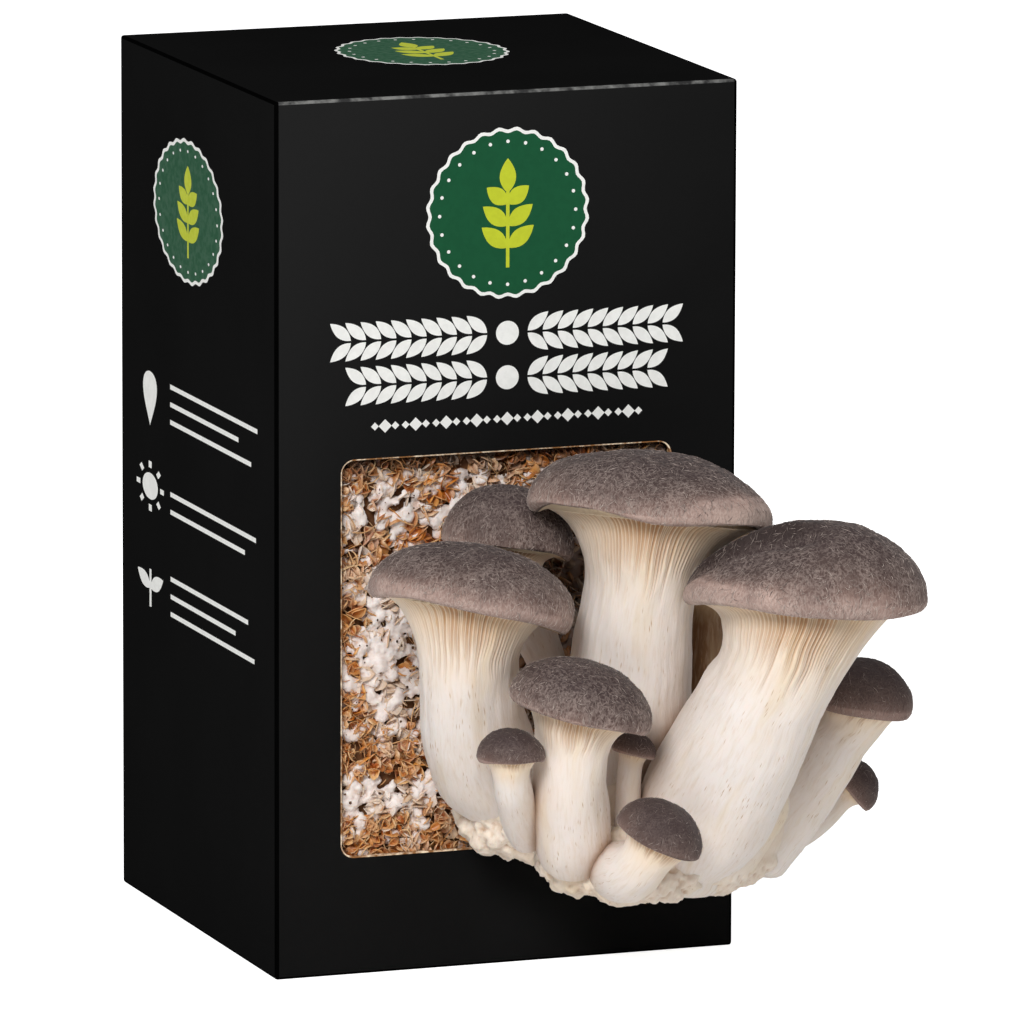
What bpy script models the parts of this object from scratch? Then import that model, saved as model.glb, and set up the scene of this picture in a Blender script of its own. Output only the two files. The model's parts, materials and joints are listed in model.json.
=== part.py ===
"""Oyster mushroom grow kit: a folded carton with a window, the block inside it, and the cluster
of mushrooms that has grown out through the window.

Sizes below are in millimetres and are turned into metres where a shape is made. The origin is
the middle of the carton's underside, +Z is up and the window faces -Y.
"""

import math
from dataclasses import dataclass

import bmesh
import bpy
import numpy as np
from mathutils import Matrix, Vector, noise

MM = 0.001
GAP = 0.35  # left between two pieces that touch

# Carton: one sheet of thin corrugated board, folded and glued
CARTON_SIDE = 150.0
CARTON_HEIGHT = 272.0
BOARD = 1.5
FOLD_RADIUS = 1.8
WINDOW_WIDTH = 107.0
WINDOW_LOW = 37.0
WINDOW_HIGH = 160.4
WINDOW_CORNER = 4.0
FRONT_Y = -CARTON_SIDE / 2

# Block of grain and husks that the threads of the fungus have bound together
BLOCK_RECESS = 4.6  # from the inner face of the front panel to the block's face
BLOCK_CLEARANCE = 1.2
BLOCK_HEIGHT = 232.0
BLOCK_CORNER = 7.0
BLOCK_CUTS = 5
BLOCK_LUMP = 0.9
BLOCK_LUMP_SIZE = 16.0
BLOCK_FACE_Y = FRONT_Y + BOARD + BLOCK_RECESS

# The lumpy foot of the cluster: rounded masses, centre and half-widths along X, Y and Z
FOOT_MASSES = (
    ((18.0, -82.0, 52.5), (31.0, 17.0, 13.0)),
    ((30.0, -110.0, 46.0), (36.0, 27.0, 13.0)),
    ((-6.0, -88.0, 50.5), (10.5, 13.0, 9.5)),
    ((65.0, -113.0, 42.5), (25.0, 14.0, 11.0)),
    ((9.0, -125.0, 42.5), (14.0, 16.0, 9.0)),
    ((28.0, -131.0, 39.5), (20.0, 14.0, 9.5)),
)
NODULES = 190
NODULE_RADIUS = (2.4, 5.2)
NODULE_TOP = 50.0  # the small nodules cover the foot below this height
NODULE_BURIED = 0.93  # a nodule that lies deeper than this in a mass wouldn't show
FOOT_LOWEST = 28.5
FOOT_VOXEL = 2.6
FOOT_FACES_KEPT = 0.085
FOOT_SEED = 11

# Shape shared by all the mushrooms, as shares of the cap's radius
CAP_TURN = math.radians(-20)  # the caps are widest along this heading
CAP_RIM_IN = 0.86  # where the rolled rim meets the flat underside
CAP_RIM_LEFT = 0.045  # how far the rim hangs below the cap's widest line on its left side
CAP_UNDERSIDE = 0.05  # how far the underside lies below the widest line
CAP_FULLNESS = 0.95  # below 1 the dome has fuller shoulders than an ellipse
CAP_RIM = ((0.975, 0.55), (0.91, 1.0))  # the roll of the rim: how far out, share of its hang
GROOVE_ANGLE = math.radians(160)
GROOVE_NARROWNESS = 24
GILL_REACH = 0.80  # how far out the gills come under the cap
GILL_RUN = 0.85  # how far the gills run down the stem
GILL_DEPTH = 0.05
FLARE_POWER = 2.3
FLARE_RINGS = 3
FLARE_CROWDING = 1.3  # above 1 the flare's rings stand closer near the cap

# Shape shared by all the stems, as shares of their length and of the foot's radius
SPINE_STEPS = 40
BELLY_AT = 0.75  # how far down the stem is at its thickest
BELLY_EASE = 1.6
TIP_AT = 0.38  # the rounded lower end, inside the cluster's foot
TIP_RADIUS = 0.72
TIP_LENGTH = 0.62


@dataclass(frozen=True)
class Mushroom:
    """One mushroom: where it stands, how it leans and how thick it is, all in millimetres."""

    name: str
    foot: tuple[float, float, float]
    bend: tuple[float, float, float]
    crown: tuple[float, float, float]
    lean: tuple[float, float]
    cap_radius: float
    cap_height: float
    neck_radius: float
    belly_radius: float
    foot_radius: float
    gills: int
    cap_segments: int
    cap_rings: int
    stem_rings: int
    rim_right: float = 0.15  # how far the rim hangs on the right side, as a share of the radius
    cap_depth: float = 1.0  # the cap's radius away from its widest heading, as a share
    stem_offset: float = 0.0  # how far the stem stands off the cap's middle, along that heading
    fold: float = 0.0  # depth of the groove that runs in from the cap's left side


MUSHROOMS = (
    Mushroom("right_large", foot=(45.3, -121.0, 44.0), bend=(44.5, -136.0, 73.0),
             crown=(62.9, -164.0, 126.9), lean=(0.06, 0.12), cap_radius=36.8, cap_height=23.4,
             neck_radius=16.0, belly_radius=20.8, foot_radius=19.0, gills=24, cap_segments=28,
             cap_rings=6, stem_rings=7, rim_right=0.20, cap_depth=0.88, stem_offset=-5.5, fold=2.2),
    Mushroom("centre_tall", foot=(31.5, -103.0, 54.0), bend=(26.7, -113.0, 90.9),
             crown=(28.1, -125.0, 148.4), lean=(0.15, 0.11), cap_radius=37.3, cap_height=18.9,
             neck_radius=15.8, belly_radius=18.4, foot_radius=14.0, gills=24, cap_segments=28,
             cap_rings=6, stem_rings=7, rim_right=0.09, cap_depth=0.87, stem_offset=-1.0),
    Mushroom("left_large", foot=(-6.4, -88.5, 52.0), bend=(-21.0, -105.0, 76.1),
             crown=(-29.4, -125.0, 124.6), lean=(0.18, 0.10), cap_radius=31.4, cap_height=17.7,
             neck_radius=14.2, belly_radius=16.8, foot_radius=10.0, gills=22, cap_segments=28,
             cap_rings=5, stem_rings=7, rim_right=0.20, cap_depth=0.92, stem_offset=1.0),
    Mushroom("front_middle", foot=(-0.3, -135.0, 47.0), bend=(-5.4, -147.0, 66.1),
             crown=(-4.9, -153.0, 95.6), lean=(0.25, -0.09), cap_radius=21.8, cap_height=14.4,
             neck_radius=10.6, belly_radius=12.0, foot_radius=10.5, gills=18, cap_segments=24,
             cap_rings=5, stem_rings=6, rim_right=0.17),
    Mushroom("back_left", foot=(14.7, -84.0, 62.0), bend=(6.5, -97.0, 99.0),
             crown=(-7.0, -95.0, 135.6), lean=(0.20, 0.07), cap_radius=20.4, cap_height=18.0,
             neck_radius=7.0, belly_radius=7.4, foot_radius=6.0, gills=14, cap_segments=20,
             cap_rings=4, stem_rings=5, cap_depth=0.86),
    Mushroom("right_middle", foot=(73.0, -113.0, 42.0), bend=(81.5, -119.0, 60.6),
             crown=(98.5, -123.0, 84.7), lean=(0.13, 0.03), cap_radius=15.7, cap_height=13.6,
             neck_radius=7.8, belly_radius=9.6, foot_radius=8.0, gills=14, cap_segments=20,
             cap_rings=4, stem_rings=5, stem_offset=-3.0),
    Mushroom("front_low", foot=(11.5, -140.0, 41.0), bend=(10.6, -155.0, 45.0),
             crown=(15.1, -167.0, 57.0), lean=(0.42, -0.27), cap_radius=13.7, cap_height=11.2,
             neck_radius=7.2, belly_radius=9.6, foot_radius=8.6, gills=12, cap_segments=20,
             cap_rings=4, stem_rings=5),
    Mushroom("front_small", foot=(-13.4, -130.0, 52.0), bend=(-22.4, -145.0, 66.9),
             crown=(-28.1, -156.0, 82.8), lean=(0.03, -0.01), cap_radius=10.2, cap_height=8.4,
             neck_radius=5.5, belly_radius=6.2, foot_radius=5.5, gills=10, cap_segments=16,
             cap_rings=4, stem_rings=5),
    Mushroom("right_small", foot=(79.7, -108.0, 40.0), bend=(95.4, -105.0, 45.9),
             crown=(103.0, -103.0, 53.8), lean=(1.10, -0.35), cap_radius=9.1, cap_height=8.6,
             neck_radius=4.2, belly_radius=5.0, foot_radius=4.8, gills=10, cap_segments=16,
             cap_rings=4, stem_rings=4),
    Mushroom("middle_small", foot=(19.7, -129.0, 49.0), bend=(16.7, -137.0, 65.6),
             crown=(17.8, -139.0, 78.3), lean=(0.27, -0.10), cap_radius=6.8, cap_height=5.5,
             neck_radius=3.6, belly_radius=4.0, foot_radius=3.6, gills=8, cap_segments=16,
             cap_rings=3, stem_rings=4),
    Mushroom("back_small", foot=(52.9, -97.0, 55.0), bend=(53.7, -101.0, 90.4),
             crown=(55.5, -101.0, 117.7), lean=(0.10, 0.05), cap_radius=11.0, cap_height=9.0,
             neck_radius=4.6, belly_radius=5.2, foot_radius=4.6, gills=8, cap_segments=16,
             cap_rings=3, stem_rings=4),
)

# Caps that grew against a neighbour and took its shape where they meet
PRESSED_CAPS = (("right_large", "centre_tall"), ("back_left", "centre_tall"),
                ("back_left", "left_large"))


def clear_scene():
    """Remove every object, so that the model starts from nothing."""
    for obj in list(bpy.data.objects):
        bpy.data.objects.remove(obj, do_unlink=True)


def make_collection(name):
    collection = bpy.data.collections.new(name)
    bpy.context.scene.collection.children.link(collection)
    return collection


def make_material(name, colour, roughness):
    material = bpy.data.materials.new(name)
    material.use_nodes = True
    surface = material.node_tree.nodes["Principled BSDF"]
    surface.inputs["Base Color"].default_value = (*colour, 1.0)
    surface.inputs["Roughness"].default_value = roughness
    surface.inputs["Metallic"].default_value = 0.0
    return material


def make_object(name, form, collection, material=None, smooth=True):
    """Turn a bmesh into a named object and free the bmesh."""
    bmesh.ops.recalc_face_normals(form, faces=form.faces)
    mesh = bpy.data.meshes.new(name)
    form.to_mesh(mesh)
    form.free()
    if smooth:
        mesh.shade_smooth()
        mesh.set_sharp_from_angle(angle=math.radians(40))
    obj = bpy.data.objects.new(name, mesh)
    collection.objects.link(obj)
    if material:
        mesh.materials.append(material)
    return obj


def make_cutter(name, form, collection):
    obj = make_object(name, form, collection, smooth=False)
    obj.hide_render = True
    obj.display_type = "WIRE"
    return obj


def subtract(obj, cutter):
    modifier = obj.modifiers.new(f"less_{cutter.name}", "BOOLEAN")
    modifier.operation = "DIFFERENCE"
    modifier.solver = "EXACT"
    modifier.object = cutter


def settle(obj, keep_largest=False):
    """Apply the object's modifiers and, if asked, drop chips that a cut has left loose."""
    graph = bpy.context.evaluated_depsgraph_get()
    mesh = bpy.data.meshes.new_from_object(obj.evaluated_get(graph))
    obj.modifiers.clear()
    if keep_largest:
        form = bmesh.new()
        form.from_mesh(mesh)
        pieces = connected_pieces(form)
        pieces.sort(key=len, reverse=True)
        chips = [vertex for piece in pieces[1:] for vertex in piece]
        bmesh.ops.delete(form, geom=chips, context="VERTS")
        form.to_mesh(mesh)
        form.free()
    obj.data = mesh


def connected_pieces(form):
    """The vertices of a bmesh, in groups that share edges."""
    left = set(form.verts)
    pieces = []
    while left:
        piece = []
        edge_of = [left.pop()]
        while edge_of:
            vertex = edge_of.pop()
            piece.append(vertex)
            for edge in vertex.link_edges:
                other = edge.other_vert(vertex)
                if other in left:
                    left.discard(other)
                    edge_of.append(other)
        pieces.append(piece)
    return pieces


def box(low, high):
    """A box between two corners given in millimetres."""
    form = bmesh.new()
    bmesh.ops.create_cube(form, size=1.0)
    size = Vector(high) - Vector(low)
    middle = (Vector(high) + Vector(low)) / 2
    bmesh.ops.scale(form, vec=size * MM, verts=form.verts)
    bmesh.ops.translate(form, vec=middle * MM, verts=form.verts)
    return form


def upright_edges(form):
    return [e for e in form.edges if abs(e.verts[0].co.z - e.verts[1].co.z) > 1e-6]


def window_prism(margin, y_low, y_high, corner):
    """A prism of the window's outline, made smaller all round by the margin."""
    half = WINDOW_WIDTH / 2 - margin
    form = box((-half, y_low, WINDOW_LOW + margin), (half, y_high, WINDOW_HIGH - margin))
    across = [e for e in form.edges if abs(e.verts[0].co.y - e.verts[1].co.y) > 1e-6]
    bmesh.ops.bevel(form, geom=across, offset=corner * MM, segments=4, profile=0.5,
                    affect="EDGES")
    return form


def build_carton(parts, cutters, material):
    """The folded board: rounded outside, hollow inside, with the window cut in its front."""
    half = CARTON_SIDE / 2
    outside = box((-half, -half, 0), (half, half, CARTON_HEIGHT))
    bmesh.ops.bevel(outside, geom=upright_edges(outside), offset=FOLD_RADIUS * MM, segments=3,
                    profile=0.5, affect="EDGES")
    level = [e for e in outside.edges if abs(e.verts[0].co.z - e.verts[1].co.z) < 1e-6]
    bmesh.ops.bevel(outside, geom=level, offset=0.5 * FOLD_RADIUS * MM, segments=2, profile=0.5,
                    affect="EDGES")
    carton = make_object("carton", outside, parts, material)
    inner = half - BOARD
    hollow = box((-inner, -inner, BOARD), (inner, inner, CARTON_HEIGHT - BOARD))
    subtract(carton, make_cutter("carton_hollow", hollow, cutters))
    window = window_prism(0, FRONT_Y - BOARD, FRONT_Y + 3 * BOARD, WINDOW_CORNER)
    subtract(carton, make_cutter("carton_window", window, cutters))


def build_block(parts, material):
    """The block: a rounded slab whose faces swell and dip a little, standing in the carton."""
    side = CARTON_SIDE / 2 - BOARD - BLOCK_CLEARANCE
    floor = BOARD + GAP
    form = box((-side, BLOCK_FACE_Y, floor), (side, side, floor + BLOCK_HEIGHT))
    bmesh.ops.subdivide_edges(form, edges=form.edges, cuts=BLOCK_CUTS, use_grid_fill=True)
    core_low = Vector((-side, BLOCK_FACE_Y, floor)) * MM + Vector((1, 1, 1)) * BLOCK_CORNER * MM
    core_high = Vector((side, side, floor + BLOCK_HEIGHT)) * MM
    core_high -= Vector((1, 1, 1)) * BLOCK_CORNER * MM
    for vertex in form.verts:
        core = Vector(min(max(c, lo), hi) for c, lo, hi in zip(vertex.co, core_low, core_high))
        outward = (vertex.co - core).normalized()
        lump = noise.noise(vertex.co / (BLOCK_LUMP_SIZE * MM)) * BLOCK_LUMP
        on_floor = vertex.co.z < (floor + 0.5) * MM
        inward = 0.0 if on_floor else abs(lump)
        vertex.co = core + outward * (BLOCK_CORNER - inward) * MM
    make_object("substrate_block", form, parts, material)


def in_mass(point, mass):
    """How deep a point lies in a rounded mass: below 1 it is inside."""
    centre, half = mass
    return math.sqrt(sum(((p - c) / h) ** 2 for p, c, h in zip(point, centre, half)))


def build_foot(parts, cutters, material):
    """The cluster's foot: rounded masses crowded with nodules, grown out through the window."""
    form = bmesh.new()
    for centre, half in FOOT_MASSES:
        sized = Matrix.Translation(Vector(centre) * MM) @ Matrix.Diagonal((*(Vector(half) * MM), 1))
        bmesh.ops.create_icosphere(form, subdivisions=3, radius=1.0, matrix=sized)
    rng = np.random.default_rng(FOOT_SEED)
    placed = 0
    while placed < NODULES:
        centre, half = FOOT_MASSES[rng.integers(len(FOOT_MASSES))]
        around = Vector(rng.normal(size=3)).normalized()
        spot = Vector(c + h * a for c, h, a in zip(centre, half, around))
        radius = rng.uniform(*NODULE_RADIUS)
        buried = any(in_mass(spot, mass) < NODULE_BURIED for mass in FOOT_MASSES)
        too_low = spot.z - radius < FOOT_LOWEST
        if buried or too_low or spot.z > NODULE_TOP or spot.y > FRONT_Y - radius:
            continue
        bmesh.ops.create_icosphere(form, subdivisions=2, radius=radius * MM,
                                   matrix=Matrix.Translation(spot * MM))
        placed += 1
    foot = make_object("cluster_foot", form, parts, material)
    remesh = foot.modifiers.new("one_skin", "REMESH")
    remesh.mode = "VOXEL"
    remesh.voxel_size = FOOT_VOXEL * MM
    thin = foot.modifiers.new("fewer_faces", "DECIMATE")
    thin.ratio = FOOT_FACES_KEPT
    settle(foot, keep_largest=True)
    # The front panel, with the window a little smaller, keeps the foot clear of the board
    half = CARTON_SIDE / 2
    board = box((-half, FRONT_Y - GAP, 0), (half, FRONT_Y + BOARD + GAP, CARTON_HEIGHT))
    panel = make_cutter("panel_clearance", board, cutters)
    opening = window_prism(GAP, FRONT_Y - 5 * BOARD, FRONT_Y + 5 * BOARD, WINDOW_CORNER)
    subtract(panel, make_cutter("panel_opening", opening, cutters))
    subtract(foot, panel)
    behind = box((-half, BLOCK_FACE_Y - GAP, 0), (half, half, CARTON_HEIGHT))
    subtract(foot, make_cutter("block_clearance", behind, cutters))
    settle(foot, keep_largest=True)
    return foot


def cap_frame(mushroom):
    """The cap's own axes: along its widest heading, away from that and up its leaning axis."""
    up = Vector((*mushroom.lean, 1.0)).normalized()
    heading = Vector((math.cos(CAP_TURN), math.sin(CAP_TURN), 0))
    across = (heading - up * up.dot(heading)).normalized()
    return across, up.cross(across), up


def spine(mushroom):
    """Points and axes along the stem from the crown down to the foot."""
    across, _, up = cap_frame(mushroom)
    foot, bend, crown = (Vector(p) for p in (mushroom.foot, mushroom.bend, mushroom.crown))
    crown = crown + across * mushroom.stem_offset
    under = crown - up * mushroom.cap_radius
    stations = []
    for i in range(SPINE_STEPS + 1):
        t = i / SPINE_STEPS
        s = 1 - t
        point = crown * s**3 + under * 3 * s * s * t + bend * 3 * s * t * t + foot * t**3
        slope = (under - crown) * s * s + (bend - under) * 2 * s * t + (foot - bend) * t * t
        down = slope.normalized()
        across = (across - down * across.dot(down)).normalized()
        stations.append((point, across.copy(), (-down).cross(across)))
    return stations


def at_distance(stations, distance):
    """The spine's point and axes this many millimetres from the crown."""
    run = 0.0
    for (a, ax, ay), (b, bx, by) in zip(stations, stations[1:]):
        step = (b - a).length
        if run + step >= distance:
            share = (distance - run) / step
            return a.lerp(b, share), ax.lerp(bx, share).normalized(), ay.lerp(by, share).normalized()
        run += step
    return stations[-1]


def spine_length(stations):
    return sum((b[0] - a[0]).length for a, b in zip(stations, stations[1:]))


def stem_radius(mushroom, distance, length):
    """The stem's radius at a distance below the crown, without the flare under the cap."""
    neck, belly, foot = mushroom.neck_radius, mushroom.belly_radius, mushroom.foot_radius
    share = min(distance / length, 1.0)
    swelling = min(share / BELLY_AT, 1.0) ** BELLY_EASE
    body = neck + (belly - neck) * math.sin(math.pi / 2 * swelling)
    if share > BELLY_AT:
        body += (foot - belly) * ((share - BELLY_AT) / (1 - BELLY_AT)) ** 2
    return body


def flare_share(mushroom, distance):
    """1 under the cap, falling to 0 where the gills end on the stem."""
    return max(0.0, 1 - distance / (GILL_RUN * mushroom.cap_radius))


def reshaped_ball(segments, rings, place):
    """A sphere primitive whose rings, counted from the top pole, are moved by a function."""
    form = bmesh.new()
    bmesh.ops.create_uvsphere(form, u_segments=segments, v_segments=rings + 1, radius=1.0)
    spots = {}
    for vertex in form.verts:
        down = math.acos(max(-1.0, min(1.0, vertex.co.z))) / math.pi
        ring = round(down * (rings + 1))
        column = round(math.atan2(vertex.co.y, vertex.co.x) / math.tau * segments) % segments
        spots[ring, column] = vertex
    for (ring, column), vertex in spots.items():
        vertex.co = Vector(place(ring, math.tau * column / segments)) * MM
    return form, spots


def stem_form(mushroom, extra=0.0):
    """The stem as a loft along its spine, flared and ridged with gills under the cap."""
    stations = spine(mushroom)
    length = spine_length(stations)
    top = CAP_UNDERSIDE * mushroom.cap_radius + GAP
    run = GILL_RUN * mushroom.cap_radius
    distances = [top + (run - top) * (i / FLARE_RINGS) ** FLARE_CROWDING
                 for i in range(FLARE_RINGS)]
    last = mushroom.stem_rings - 1
    distances += [run + (length - run) * i / last for i in range(mushroom.stem_rings)]
    segments = 2 * mushroom.gills
    end_radius = mushroom.foot_radius + extra
    across, away, up = cap_frame(mushroom)
    seat = Vector(mushroom.crown) - up * top

    def place(ring, angle):
        if ring == 0:
            return seat
        if ring > len(distances):
            point, ax, ay = stations[-1]
            return point + ay.cross(ax) * TIP_LENGTH * end_radius
        distance = distances[ring - 1]
        fade = flare_share(mushroom, distance)
        if ring == 1:
            point, ax, ay = seat, across, away
        else:
            point, ax, ay = at_distance(stations, distance)
            point = point - ax * mushroom.stem_offset * fade
        lip = GILL_REACH * mushroom.cap_radius * cap_outline(mushroom, angle)
        radius = stem_radius(mushroom, distance, length) + extra
        radius += (lip - mushroom.neck_radius) * fade**FLARE_POWER
        valley = round(angle / math.tau * segments) % 2
        radius -= GILL_DEPTH * mushroom.cap_radius * fade * valley
        if ring == len(distances):
            radius *= TIP_RADIUS
            point = point + ay.cross(ax) * TIP_AT * end_radius
        return point + (ax * math.cos(angle) + ay * math.sin(angle)) * radius

    form, spots = reshaped_ball(segments, len(distances), place)
    # Below the gills every second column is closed up, for the stem is smooth there
    closed = {vertex: spots[ring, column - 1] for (ring, column), vertex in spots.items()
              if column % 2 and FLARE_RINGS < ring <= len(distances)}
    bmesh.ops.weld_verts(form, targetmap=closed)
    return form


def cap_outline(mushroom, angle):
    """The cap's radius around its rim, as a share: an oval with a slight waver."""
    phase = sum(mushroom.crown)
    waver = 1 + 0.014 * math.cos(2 * angle + phase) + 0.010 * math.cos(3 * angle + 2 * phase)
    oval = 1 / math.hypot(math.cos(angle), math.sin(angle) / mushroom.cap_depth)
    return waver * oval


def cap_form(mushroom, extra=0.0):
    """The cap: a dome, a rim that rolls under it, and a flat underside for the gills."""
    across, away, up = cap_frame(mushroom)
    crown = Vector(mushroom.crown)
    radius, height = mushroom.cap_radius, mushroom.cap_height
    quarter = [math.pi / 2 * (i + 1) / mushroom.cap_rings for i in range(mushroom.cap_rings)]
    profile = [(math.sin(a) ** CAP_FULLNESS, max(0.0, math.cos(a)) ** CAP_FULLNESS) for a in quarter]
    underside = -CAP_UNDERSIDE * radius - extra

    def place(ring, angle):
        if ring == 0:
            return crown + up * (height + extra)
        if ring > len(profile) + len(CAP_RIM) + 1:
            return crown + up * underside
        if ring <= len(profile):
            share, rise = profile[ring - 1]
            groove = max(0.0, math.cos(angle - GROOVE_ANGLE)) ** GROOVE_NARROWNESS
            rise = rise * height + extra - mushroom.fold * groove * math.sin(math.pi * share)
        elif ring <= len(profile) + len(CAP_RIM):
            share, hang = CAP_RIM[ring - len(profile) - 1]
            right = (1 + math.cos(angle)) / 2
            drop = CAP_RIM_LEFT + (mushroom.rim_right - CAP_RIM_LEFT) * right
            rise = -hang * drop * radius - extra
        else:
            share, rise = CAP_RIM_IN, underside
        reach = share * radius * cap_outline(mushroom, angle) + extra
        return crown + (across * math.cos(angle) + away * math.sin(angle)) * reach + up * rise

    return reshaped_ball(mushroom.cap_segments, len(profile) + len(CAP_RIM) + 1, place)[0]


def build_mushrooms(parts, cutters, foot, cap_material, stem_material):
    """Every stem and cap; later stems give way to earlier ones, and the foot to them all."""
    shapes = {mushroom.name: mushroom for mushroom in MUSHROOMS}
    earlier = {}
    caps = {}
    for mushroom in MUSHROOMS:
        stem = make_object(f"stem_{mushroom.name}", stem_form(mushroom), parts, stem_material)
        for cutter in earlier.values():
            subtract(stem, cutter)
        settle(stem, keep_largest=True)
        cutter = make_cutter(f"{mushroom.name}_clearance", stem_form(mushroom, GAP), cutters)
        earlier[mushroom.name] = cutter
        subtract(foot, cutter)
        cap = make_object(f"cap_{mushroom.name}", cap_form(mushroom), parts, cap_material)
        caps[mushroom.name] = cap
    for pressed, neighbour in PRESSED_CAPS:
        form = cap_form(shapes[neighbour], GAP)
        cap = caps[pressed]
        subtract(cap, make_cutter(f"{neighbour}_presses_{pressed}", form, cutters))
        subtract(cap, earlier[neighbour])
        settle(cap)
    settle(foot, keep_largest=True)


def main():
    clear_scene()
    parts = make_collection("oyster_mushroom_grow_kit")
    cutters = make_collection("cutters")
    board = make_material("black_board", (0.018, 0.019, 0.021), 0.55)
    grain = make_material("grain_and_threads", (0.62, 0.50, 0.38), 0.9)
    flesh = make_material("cream_flesh", (0.86, 0.79, 0.69), 0.6)
    nodular = make_material("nodular_flesh", (0.84, 0.76, 0.64), 0.7)
    velvet = make_material("grey_brown_velvet", (0.21, 0.16, 0.15), 0.8)
    build_carton(parts, cutters, board)
    build_block(parts, grain)
    foot = build_foot(parts, cutters, nodular)
    build_mushrooms(parts, cutters, foot, velvet, flesh)


main()
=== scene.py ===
"""Looks of the oyster mushroom grow kit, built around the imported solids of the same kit.

Sizes are in millimetres and are turned into metres where a mesh is made. The origin is the middle
of the carton's underside, +Z is up and the window faces -Y.
"""

import json
import logging
import math
from dataclasses import dataclass, field
from enum import Enum
from typing import Any, Sequence

import bmesh
import bpy
import numpy as np
from mathutils import Matrix, Vector, geometry

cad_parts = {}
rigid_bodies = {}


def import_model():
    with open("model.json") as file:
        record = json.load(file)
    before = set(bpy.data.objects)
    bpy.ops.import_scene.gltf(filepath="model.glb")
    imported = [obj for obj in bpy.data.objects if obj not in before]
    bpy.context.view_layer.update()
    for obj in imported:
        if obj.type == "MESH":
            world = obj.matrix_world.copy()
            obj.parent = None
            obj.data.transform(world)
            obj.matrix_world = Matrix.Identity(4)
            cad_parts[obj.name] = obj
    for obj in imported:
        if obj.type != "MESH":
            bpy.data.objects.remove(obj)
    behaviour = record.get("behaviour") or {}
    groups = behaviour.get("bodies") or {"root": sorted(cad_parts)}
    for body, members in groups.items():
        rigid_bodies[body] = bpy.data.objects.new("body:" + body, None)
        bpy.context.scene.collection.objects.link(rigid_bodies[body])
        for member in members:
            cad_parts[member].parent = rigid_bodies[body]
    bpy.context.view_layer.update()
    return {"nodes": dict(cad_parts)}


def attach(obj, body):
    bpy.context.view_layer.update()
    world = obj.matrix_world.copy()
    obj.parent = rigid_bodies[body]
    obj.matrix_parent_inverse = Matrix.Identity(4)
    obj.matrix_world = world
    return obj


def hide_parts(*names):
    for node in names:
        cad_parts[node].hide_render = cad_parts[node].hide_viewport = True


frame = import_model()

LOG = logging.getLogger("grow_kit")
MM = 0.001
BODY = "root"
HOLLOW_SPREAD = 4  # how often points are averaged with their neighbours to find the crevices

Material, Mesh, Object = bpy.types.Material, bpy.types.Mesh, bpy.types.Object
Socket, Form = bpy.types.NodeSocket, bmesh.types.BMesh
Pair = tuple[float, float]
Triple = tuple[float, float, float]
Colour = tuple[float, float, float, float]
Outline = list[Pair]
WHITE: Colour = (1.0, 1.0, 1.0, 1.0)
BLACK: Colour = (0.0, 0.0, 0.0, 1.0)


def linear(red: int, green: int, blue: int) -> Colour:
    """Turns a display colour into a scene-linear one.

    Args:
        red: the display's red, from 0 to 255.
        green: its green.
        blue: its blue.

    Returns:
        The colour, with alpha 1.
    """
    parts = [c / 255 for c in (red, green, blue)]
    parts = [c / 12.92 if c <= 0.04045 else ((c + 0.055) / 1.055) ** 2.4 for c in parts]
    return parts[0], parts[1], parts[2], 1.0


def grey(value: int) -> Colour:
    """A grey given as a display value from 0 to 255."""
    return linear(value, value, value)


def unit(vectors: np.ndarray) -> np.ndarray:
    """The same vectors with length 1."""
    return vectors / (np.linalg.norm(vectors, axis=-1, keepdims=True) + 1e-12)


def ease(share: np.ndarray) -> np.ndarray:
    """A smooth step from 0 to 1, held at both ends."""
    held = np.clip(share, 0, 1)
    return held * held * (3 - 2 * held)


@dataclass(frozen=True)
class Ripple:
    """A smooth random field made of plane waves of about one wavelength, in millimetres."""

    wavelength: float
    seed: int
    waves: int = 18

    def __call__(self, points: np.ndarray) -> np.ndarray:
        """Reads the field.

        Args:
            points: places to read it at, one a row.

        Returns:
            One value a place, about 0 with a spread of about 1.
        """
        rng = np.random.default_rng(self.seed)
        headings = unit(rng.normal(size=(self.waves, 3)))
        rates = math.tau / (self.wavelength * rng.uniform(0.7, 1.4, self.waves))
        phases = rng.uniform(0, math.tau, self.waves)
        turns = points @ (headings * rates[:, None]).T + phases
        return np.sin(turns).sum(-1) * math.sqrt(2 / self.waves)


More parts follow.
